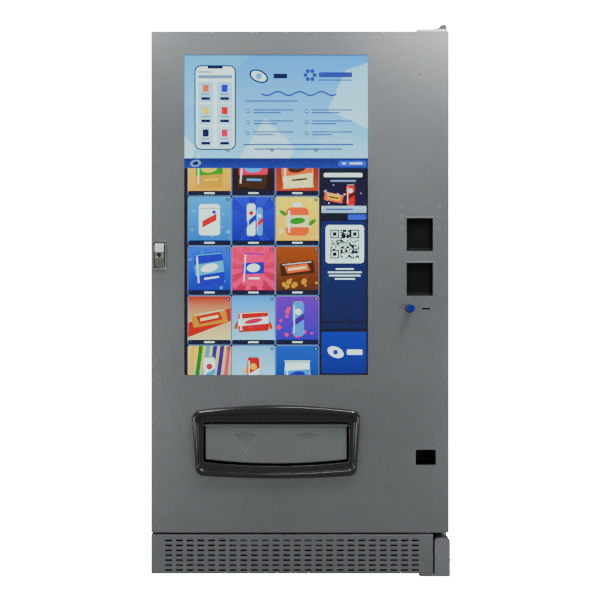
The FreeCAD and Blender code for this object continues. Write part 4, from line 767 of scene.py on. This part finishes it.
# Right-hand column: offer panel, code card and sign panel
COLUMN_LEFT = 74.7
COLUMN_RIGHT = 99.2
art.ink("offer", (14, 22, 58), (34, 24, 74), 62, 82)
art.ink("code_panel", (34, 62, 122), (24, 46, 98), 90, 145)
art.ink("sign_panel", (42, 92, 176), (32, 70, 148), 150, 174)
art.ink("strip", (206, 222, 238), (176, 200, 226), 82, 86)
art.rect("offer", COLUMN_LEFT, 62.0, COLUMN_RIGHT, 82.2, 2)
art.rect("white", 76.0, 64.2, 97.0, 66.4, 3, 0.6)
art.rect("outline", 79.5, 68.0, 93.5, 69.0, 3, 0.4)
slim_can(90.6, 76.2, 4.6, 11.6, "red", "dark_red", "white", 3)
snack_bar(81.4, 77.6, 10.5, 4.4, "orange", "yellow", "brown", 3, 12)
dots("white", (76, 70, 98, 81.5), 2.5, 12, 0.5, 21)
art.rect("strip", COLUMN_LEFT, 82.2, COLUMN_RIGHT, 86.0, 2)
art.rect("line_blue", 77.0, 83.6, 92.0, 84.4, 3)
art.rect("pill", 89.0, 86.8, COLUMN_RIGHT, 89.8, 2, 1.0)
art.rect("code_panel", COLUMN_LEFT, 90.4, COLUMN_RIGHT, 145.1, 2, 0.8)
art.rect("white", 77.0, 92.6, 97.9, 113.4, 3, 1.8)


def code_pattern(x0, y0, size, cells, layer):
    """A plain random mosaic with three corner frames. It encodes nothing."""
    source = random.Random(7)
    cell = size / cells
    frames = ((0, 0), (cells - 7, 0), (0, cells - 7))
    for row in range(cells):
        for column in range(cells):
            in_frame = any(fx <= column < fx + 8 and fy <= row < fy + 8 for fx, fy in frames)
            if source.random() < 0.5 and not in_frame:
                left = x0 + column * cell
                top = y0 + row * cell
                art.rect("night", left, top, left + cell, top + cell, layer)
    for fx, fy in frames:
        left = x0 + fx * cell
        top = y0 + fy * cell
        for inset, ink in enumerate(("night", "white", "night")):
            near = inset * cell
            far = (7 - inset) * cell
            art.rect(ink, left + near, top + near, left + far, top + far, layer + inset)


code_pattern(79.5, 95.1, 15.8, 23, 4)
for line, (bar_left, bar_right) in enumerate(((82.5, 92.4), (78.2, 96.6), (78.8, 96.0), (82.0, 93.0))):
    bar_top = 116.2 + line * 1.8
    art.rect("white", bar_left, bar_top, bar_right, bar_top + 0.75, 3, 0.3)
art.rect("code_panel", COLUMN_LEFT, 145.9, COLUMN_RIGHT, 149.4, 2, 0.5)
art.rect("sign_panel", COLUMN_LEFT, 150.8, COLUMN_RIGHT, 173.6, 2, 0.8)
emblem(82.4, 162.0, 4.6, 3, "white", "blue")
art.rect("white", 88.6, 160.6, 97.0, 163.4, 3, 0.6)
art.finish()


# ---------------------------------------------------------------- door details
def disc_points(x, z, radius, sides=14):
    return arc(x, z, radius, 0, -360 / sides, sides)


def box_points(x0, x1, z0, z1):
    return [(x0, z0), (x1, z0), (x1, z1), (x0, z1)]


def stud_weld_marks():
    """Rings of shallow pips where studs are welded behind the skin, beside the payment cut-outs, in pale
    paint that stands in for their glints: painted highlight.
    """
    ring_radius = 5.2 * MM
    rise = 0.25 * MM
    plates = Plates()
    columns = (blanks.x0 - 16.5 * MM, blanks.x1 + 20.5 * MM)
    rows = (blanks.z1 + 40.5 * MM, blanks.z1 + 5 * MM, blanks.z1 - 31 * MM)
    for x in columns:
        for z in rows:
            for pip_x, pip_z in arc(x, z, ring_radius, 0, 40, 9):
                plates.add(disc_points(pip_x, pip_z, 1.0 * MM, 10), DOOR_FRONT - rise, rise)
    # The pips take the pale paint: painted glints.
    plates.piece("stud_weld_marks", glint_pale_paint, DOOR, "door_paint")


def cut_out_pips():
    """Pairs of small rivet heads under the payment cut-outs and a rib over each, in pale paint that stands
    in for their glints: painted highlight.
    """
    plates = Plates()
    rise = 0.6 * MM
    rib_rise = 0.35 * MM
    for low in (blanks.z0, blanks.z1 - 110 * MM):
        for x in (blanks.x0 + 9 * MM, blanks.x1 - 9 * MM):
            plates.add(disc_points(x, low - 7 * MM, 1.5 * MM), DOOR_FRONT - rise, rise)
        over = low + 113 * MM
        rib = box_points(blanks.x0 - 2 * MM, blanks.x1 + 2 * MM, over, over + 1.6 * MM)
        plates.add(rib, DOOR_FRONT - rib_rise, rib_rise)
    # The rivet heads and ribs take the pale paint: painted glints.
    plates.piece("cut_out_rivets", glint_pale_paint, DOOR, "door_paint")


def solid_from(bm, name, material, body):
    bmesh.ops.recalc_face_normals(bm, faces=bm.faces)
    return add_piece(name, mesh_from(bm, name), material, body)


def lathe(name, profile, centre, axis, material, body, sides):
    """Turn (distance along the axis, radius) points about an axis."""
    bm = bmesh.new()
    along = Vector(axis).normalized()
    side = along.orthogonal().normalized()
    other = along.cross(side)
    rings = []
    for distance, radius in profile:
        ring = []
        for step in range(sides):
            angle = 2 * math.pi * step / sides
            out = side * math.cos(angle) + other * math.sin(angle)
            ring.append(bm.verts.new(Vector(centre) + along * distance + out * radius))
        rings.append(ring)
    bridge(bm, rings)
    bm.faces.new(rings[0][::-1])
    bm.faces.new(rings[-1])
    piece = solid_from(bm, name, material, body)
    for polygon in piece.data.polygons:
        polygon.use_smooth = len(polygon.vertices) == 4


def screw(name, centre, axis, radius):
    """A domed screw head with a washer rim, on the door."""
    profile = [(0, radius * 1.25), (radius * 0.12, radius * 1.25), (radius * 0.14, radius)]
    for step in range(5):
        angle = math.radians(18 * step)
        profile.append((radius * (0.2 + 0.42 * math.sin(angle)), radius * (0.25 + 0.72 * math.cos(angle))))
    lathe(name, profile, centre, axis, zinc, DOOR, 24)


def arched_loop(x0, x1, z0, z1, sag, rise, taper, corner, steps=18):
    """Closed outline with bowed top and bottom edges and round corners, as evenly spread points."""
    middle = (x0 + x1) / 2

    def low_edge(x):
        share = (x - middle) / ((x1 - x0) / 2 - taper)
        return z0 - sag * (1 - share * share)

    def high_edge(x):
        share = (x - middle) / ((x1 - x0) / 2)
        return z1 + rise * (1 - share * share)

    points = []
    left = x0 + taper
    right = x1 - taper
    for step in range(steps + 1):
        x = left + corner + (right - left - 2 * corner) * step / steps
        points.append((x, low_edge(x)))
    top_right = high_edge(x1 - corner) - corner
    low_right = low_edge(right - corner) + corner
    points += arc(right - corner, low_right, corner, -78.75, 11.25, 7)
    for step in range(steps // 3 + 1):
        share = step / (steps // 3)
        points.append((right + (x1 - right) * share, low_right + (top_right - low_right) * share))
    points += arc(x1 - corner, top_right, corner, 11.25, 11.25, 7)
    for step in range(steps + 1):
        x = x1 - corner - (x1 - x0 - 2 * corner) * step / steps
        points.append((x, high_edge(x)))
    points += arc(x0 + corner, top_right, corner, 101.25, 11.25, 7)
    for step in range(steps // 3 + 1):
        share = step / (steps // 3)
        points.append((x0 + (left - x0) * share, top_right + (low_right - top_right) * share))
    points += arc(left + corner, low_right, corner, 191.25, 11.25, 7)
    return points


def delivery_surround():
    """The bezel as one smooth moulding: a rounded roll, a groove, and a flat band round the mouth."""
    sag = 10 * MM
    rise = 19.6 * MM
    half_wide = 281 * MM
    mouth_half = 243 * MM
    roll_outer = arched_loop(bezel.x - half_wide, bezel.x + half_wide, bezel.z0 + sag, bezel.z1 - rise,
                             sag=sag, rise=rise, taper=11 * MM, corner=30 * MM)
    mouth = arched_loop(bezel.x - mouth_half, bezel.x + mouth_half, bezel.z0 + 54 * MM, flap.z1 + 6 * MM,
                        sag=14 * MM, rise=0.0, taper=0.0, corner=9 * MM)
    # (share of the way from the roll's outer edge to the mouth, height over the door skin)
    section = [
        (0.0, 0.0), (0.0, 4.0), (0.02, 8.0), (0.07, 12.0), (0.15, 15.0), (0.25, 16.0), (0.35, 15.2),
        (0.43, 12.8), (0.485, 9.0), (0.50, 5.4), (0.515, 4.2), (0.56, 4.0), (0.75, 4.0), (0.95, 3.8),
        (0.99, 3.2), (1.0, 2.0), (1.0, -1.5),
    ]
    bm = bmesh.new()
    rings = []
    for share, height in section:
        y = DOOR_FRONT - height * MM
        rings.append([
            bm.verts.new((ox + (ix - ox) * share, y, oz + (iz - oz) * share))
            for (ox, oz), (ix, iz) in zip(roll_outer, mouth)
        ])
    bridge(bm, rings + [rings[0]])
    piece = solid_from(bm, "delivery_surround", bezel_gloss, DOOR)
    piece.data.shade_smooth()
    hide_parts("delivery_bezel")


FLAP_STEP = 1.6 * MM  # between the points of the flap's face
FLAP_FACE_RISE = 4.4 * MM
ARROW_DEPTH = 4.3 * MM
ARROW_OFFSET = 103 * MM  # from the flap's middle to the middle of an arrow
ARROW_HALF = 41.5 * MM
ARROW_TOP = flap.z1 - 33 * MM
ARROW_TIP = flap.z1 - 95 * MM


def arrow_depth(x, z):
    """How far the flap's face is pressed in at a point, for two rounded arrows that point down."""
    across = abs(abs(x - flap.x) - ARROW_OFFSET)
    slope = math.hypot(ARROW_HALF, ARROW_TOP - ARROW_TIP)
    over_top = z - ARROW_TOP + 0.35 * MM * (across / (10 * MM)) ** 2
    past_side = (across * (ARROW_TOP - ARROW_TIP) + (ARROW_TIP - z) * ARROW_HALF) / slope
    sharp = 2.2 * MM
    outside = sharp * math.log(math.exp(over_top / sharp) + math.exp(past_side / sharp))
    share = min(1.0, max(0.0, (1.0 * MM - outside) / (3.4 * MM)))
    return ARROW_DEPTH * share * share * (3 - 2 * share)


def flap_face():
    """Moulded face that stands in front of the CAD flap, with two arrows pressed into it."""
    front = flap.y1 - 5.2 * MM
    top = flap.z1 - 11.6 * MM
    left = flap.x0 + 0.4 * MM
    columns = int(flap.wide / FLAP_STEP)
    rows = int((top - flap.z0) / FLAP_STEP)
    bm = bmesh.new()
    grid = []
    for column in range(columns + 1):
        x = left + (flap.wide - 0.8 * MM) * column / columns
        share = 2 * (x - flap.x) / flap.wide
        low = flap.z0 + 0.6 * MM + 14 * MM * share * share
        line = []
        for row in range(rows + 1):
            z = low + (top - low) * row / rows
            on_edge = row in (0, rows) or column in (0, columns)
            lift = 0.0 if on_edge else FLAP_FACE_RISE - arrow_depth(x, z)
            line.append(bm.verts.new((x, front - lift, z)))
        grid.append(line)
    for left_line, right_line in zip(grid, grid[1:]):
        for row in range(rows):
            bm.faces.new((left_line[row], right_line[row], right_line[row + 1], left_line[row + 1]))
    mesh = mesh_from(bm, "flap_face")
    mesh.shade_smooth()
    add_piece("flap_face", mesh, flap_grain, "flap")


stud_weld_marks()
cut_out_pips()
delivery_surround()
flap_face()


# ---------------------------------------------------------------- hardware on the door
def shield_outline(half, low, high, corner, turn):
    """Rectangle with two round corners, the lower ones for turn 1 and the upper ones for turn -1."""
    edge, far = (low, high) if turn > 0 else (high, low)
    outline = [(handle.x - half, far)]
    for start in (180, 270):
        centre_x = handle.x + (corner - half if start == 180 else half - corner)
        for step in range(6):
            angle = math.radians(start + 18 * step)
            z = edge + turn * corner * (1 + math.sin(angle))
            outline.append((centre_x + corner * math.cos(angle), z))
    outline.append((handle.x + half, far))
    return outline if turn > 0 else outline[::-1]


def handle_shields():
    """Plates on the handle's face over and under the key cylinder: the lower one dark olive, a painted
    reflection of shade, the upper one near white, a painted reflection of light.
    """
    half = handle.wide / 2 - 1.2 * MM
    # Lower plate in painted shade, upper plate in painted highlight.
    for name, low, high, turn, material in (
        ("handle_lower_shield", handle.z0 + 1.2 * MM, handle.z0 + handle.tall * 0.36, 1, olive_painted_shade),
        ("handle_upper_shield", handle.z1 - handle.tall * 0.36, handle.z1 - 1.2 * MM, -1, satin_painted_highlight),
    ):
        plates = Plates()
        plates.add(shield_outline(half, low, high, 5 * MM, turn), handle.y0 - 0.8 * MM, 1.2 * MM)
        plates.piece(name, material, HANDLE, "chrome")


def cylinder_ring():
    """Turned ring round the key cylinder."""
    outer = cylinder.wide / 2 + 2.8 * MM
    inner = cylinder.wide / 2 + 0.3 * MM
    sides = 40
    bm = bmesh.new()
    rings = []
    for radius, lift in ((outer, 0.0), (outer - 0.4 * MM, 1.2), (inner + 0.3 * MM, 1.2), (inner, 0.0)):
        circle = arc(cylinder.x, cylinder.z, radius, 0, 360 / sides, sides)
        rings.append([bm.verts.new((x, handle.y0 - lift * MM, z)) for x, z in circle])
    bridge(bm, rings + [rings[0]])
    solid_from(bm, "cylinder_ring", steel, HANDLE)


def hinge_screws():
    """Screws through both door hinge plates, in two rows of three."""
    plates = Span("door_hinge_plates")
    for index, offset in enumerate((18, 44, 70)):
        x = plates.x0 + offset * MM
        for side, y in (("front", plates.y + 13 * MM), ("rear", plates.y - 13 * MM)):
            screw(f"upper_hinge_screw_{index}_{side}", (x + 28 * MM, y, plates.z1), (0, 0, 1), 3.6 * MM)
            screw(f"lower_hinge_screw_{index}_{side}", (x, y, plates.z0), (0, 0, -1), 3.6 * MM)


def inner_panel_screws():
    """Screws down both edges of the door's inner panel."""
    inner = Span("door_inner_panel")
    inset = 9 * MM
    end_room = 60 * MM
    rows = 7
    for side, x in (("left", inner.x0 + inset), ("right", inner.x1 - inset)):
        for row in range(rows):
            z = inner.z0 + end_room + (inner.tall - 2 * end_room) * row / (rows - 1)
            screw(f"inner_screw_{side}_{row}", (x, skin.y1, z), (0, 1, 0), 3.4 * MM)


# ---------------------------------------------------------------- inside the cabinet
def tray_fronts():
    """Price channels along the tray fronts, with a blank label for each lane."""
    lip = 2.4 * MM
    for level in range(1, 5):
        tray = Span(f"tray_{level}")
        channel = Plates()
        labels = Plates()
        top = tray.z0 + 31 * MM
        low = tray.z0 + 1 * MM
        front = tray.y0 - 1.4 * MM
        left = tray.x0 + 1 * MM
        right = tray.x1 - 1 * MM
        channel.add(box_points(left, right, low, top), front + 0.4 * MM, 1.0 * MM)
        for edge in (low, top - lip):
            channel.add(box_points(left, right, edge, edge + lip), front - 0.6 * MM, 1.2 * MM)
        lane = tray.wide / 3
        for index in range(3):
            middle = tray.x0 + lane * (index + 0.5)
            card = box_points(middle - 34 * MM, middle + 34 * MM, low + 4 * MM, top - 4 * MM)
            labels.add(card, front - 0.2 * MM, 0.7 * MM)
        body = f"tray_{level}"
        channel.piece(f"price_channel_{level}", channel_plastic, body, "tray_paint")
        labels.piece(f"price_labels_{level}", label_card, body, "tray_paint")


def tube_along(name, points, radius, material, body):
    """A bent tube through a smooth run of points, closed at both ends."""
    curve = bpy.data.curves.new(name, "CURVE")
    curve.dimensions = "3D"
    curve.bevel_depth = radius
    curve.bevel_resolution = 4
    curve.use_fill_caps = True
    spline = curve.splines.new("NURBS")
    spline.points.add(len(points) - 1)
    for point, place in zip(spline.points, points):
        point.co = (*place, 1.0)
    spline.order_u = 3
    spline.use_endpoint_u = True
    add_piece(name, curve, material, body)


def refrigerant_pipes():
    """Copper pipes from the compressor's stubs to the condenser."""
    compressor = Span("compressor")
    condenser = Span("condenser_coil")
    shroud = Span("fan_shroud")
    for name, side, end_z in (
        ("discharge_pipe", 18, condenser.z1 - 30 * MM), ("suction_pipe", -18, condenser.z0 + 60 * MM),
    ):
        x = compressor.x + side * MM
        y = compressor.y - 60 * MM
        top = compressor.z1
        out_x = condenser.x0 - 4 * MM
        points = [
            (x, y, top - 4 * MM), (x, y, top + 18 * MM), (x, y - 30 * MM, top + 26 * MM),
            (x + side * 0.3 * MM, y - 90 * MM, top + 20 * MM),
            (out_x - 40 * MM + side * MM, shroud.y1 + 40 * MM, top),
            (out_x - 46 * MM + side * MM, condenser.y1 + 10 * MM, end_z + 20 * MM),
            (out_x - 30 * MM, condenser.y, end_z), (out_x, condenser.y, end_z),
        ]
        tube_along(name, points, 4.2 * MM, copper, ROOT)


handle_shields()
cylinder_ring()
hinge_screws()
inner_panel_screws()
tray_fronts()
refrigerant_pipes()


# ---------------------------------------------------------------- stage, lights and camera
SURROUND_RADIUS = 40.0
SURROUND_STRENGTH = 30.0
CAMERA_X = -2.4 * MM
CAMERA_HEIGHT = 0.929
CAMERA_DISTANCE = 2.3
LENS = 41.24


def stage():
    """A plain white surround, seen only behind the object: it neither lights it nor shows in its gloss."""
    material, nodes, links, shader = new_material("white_surround")
    emission = nodes.new("ShaderNodeEmission")
    put(emission, {"Strength": SURROUND_STRENGTH})
    links.new(emission.outputs["Emission"], nodes["Material Output"].inputs["Surface"])
    nodes.remove(shader)
    bm = bmesh.new()
    bmesh.ops.create_icosphere(bm, subdivisions=3, radius=SURROUND_RADIUS)
    mesh = mesh_from(bm, "surround")
    mesh.materials.append(material)
    surround = new_object("surround", mesh)
    surround.visible_diffuse = False
    surround.visible_glossy = False
    surround.visible_transmission = False
    surround.visible_shadow = False


def soft_light(name, place, target, wide, tall, power):
    lamp = bpy.data.lights.new(name, "AREA")
    lamp.shape = "RECTANGLE"
    lamp.size = wide
    lamp.size_y = tall
    lamp.energy = power
    holder = new_object(name, lamp)
    holder.location = place
    holder.rotation_euler = (Vector(target) - Vector(place)).to_track_quat("-Z", "Y").to_euler()


def studio():
    world = bpy.data.worlds.new("studio")
    bpy.context.scene.world = world
    world.use_nodes = True
    background = world.node_tree.nodes["Background"]
    put(background, {"Color": (0.93, 0.95, 0.96, 1), "Strength": 0.27})
    soft_light("key_right", (0.92, -1.05, 2.5), (0.44, -0.42, 1.82), 0.6, 0.4, 33)
    soft_light("key_left", (-0.95, -1.05, 2.5), (-0.48, -0.42, 1.82), 0.6, 0.4, 17)
    soft_light("strip", (0.35, -0.95, 3.0), (0.1, -0.42, 0.6), 1.2, 0.12, 13)
    soft_light("fill_left", (-2.2, -2.9, 0.3), (0, -0.42, 0.1), 1.2, 1.0, 30)
    soft_light("fill_right", (2.3, -2.9, 0.3), (0, -0.42, 0.1), 1.2, 1.0, 22)
    soft_light("back", (-1.5, 3.5, 3.2), (0, 0, 1.0), 3.0, 2.0, 110)


def camera():
    data = bpy.data.cameras.new("camera")
    data.lens = LENS
    data.sensor_width = 36.0
    holder = new_object("camera", data)
    holder.location = (CAMERA_X, DOOR_FRONT - CAMERA_DISTANCE, CAMERA_HEIGHT)
    holder.rotation_euler = (math.radians(90), 0, 0)
    bpy.context.scene.camera = holder


stage()
studio()
camera()
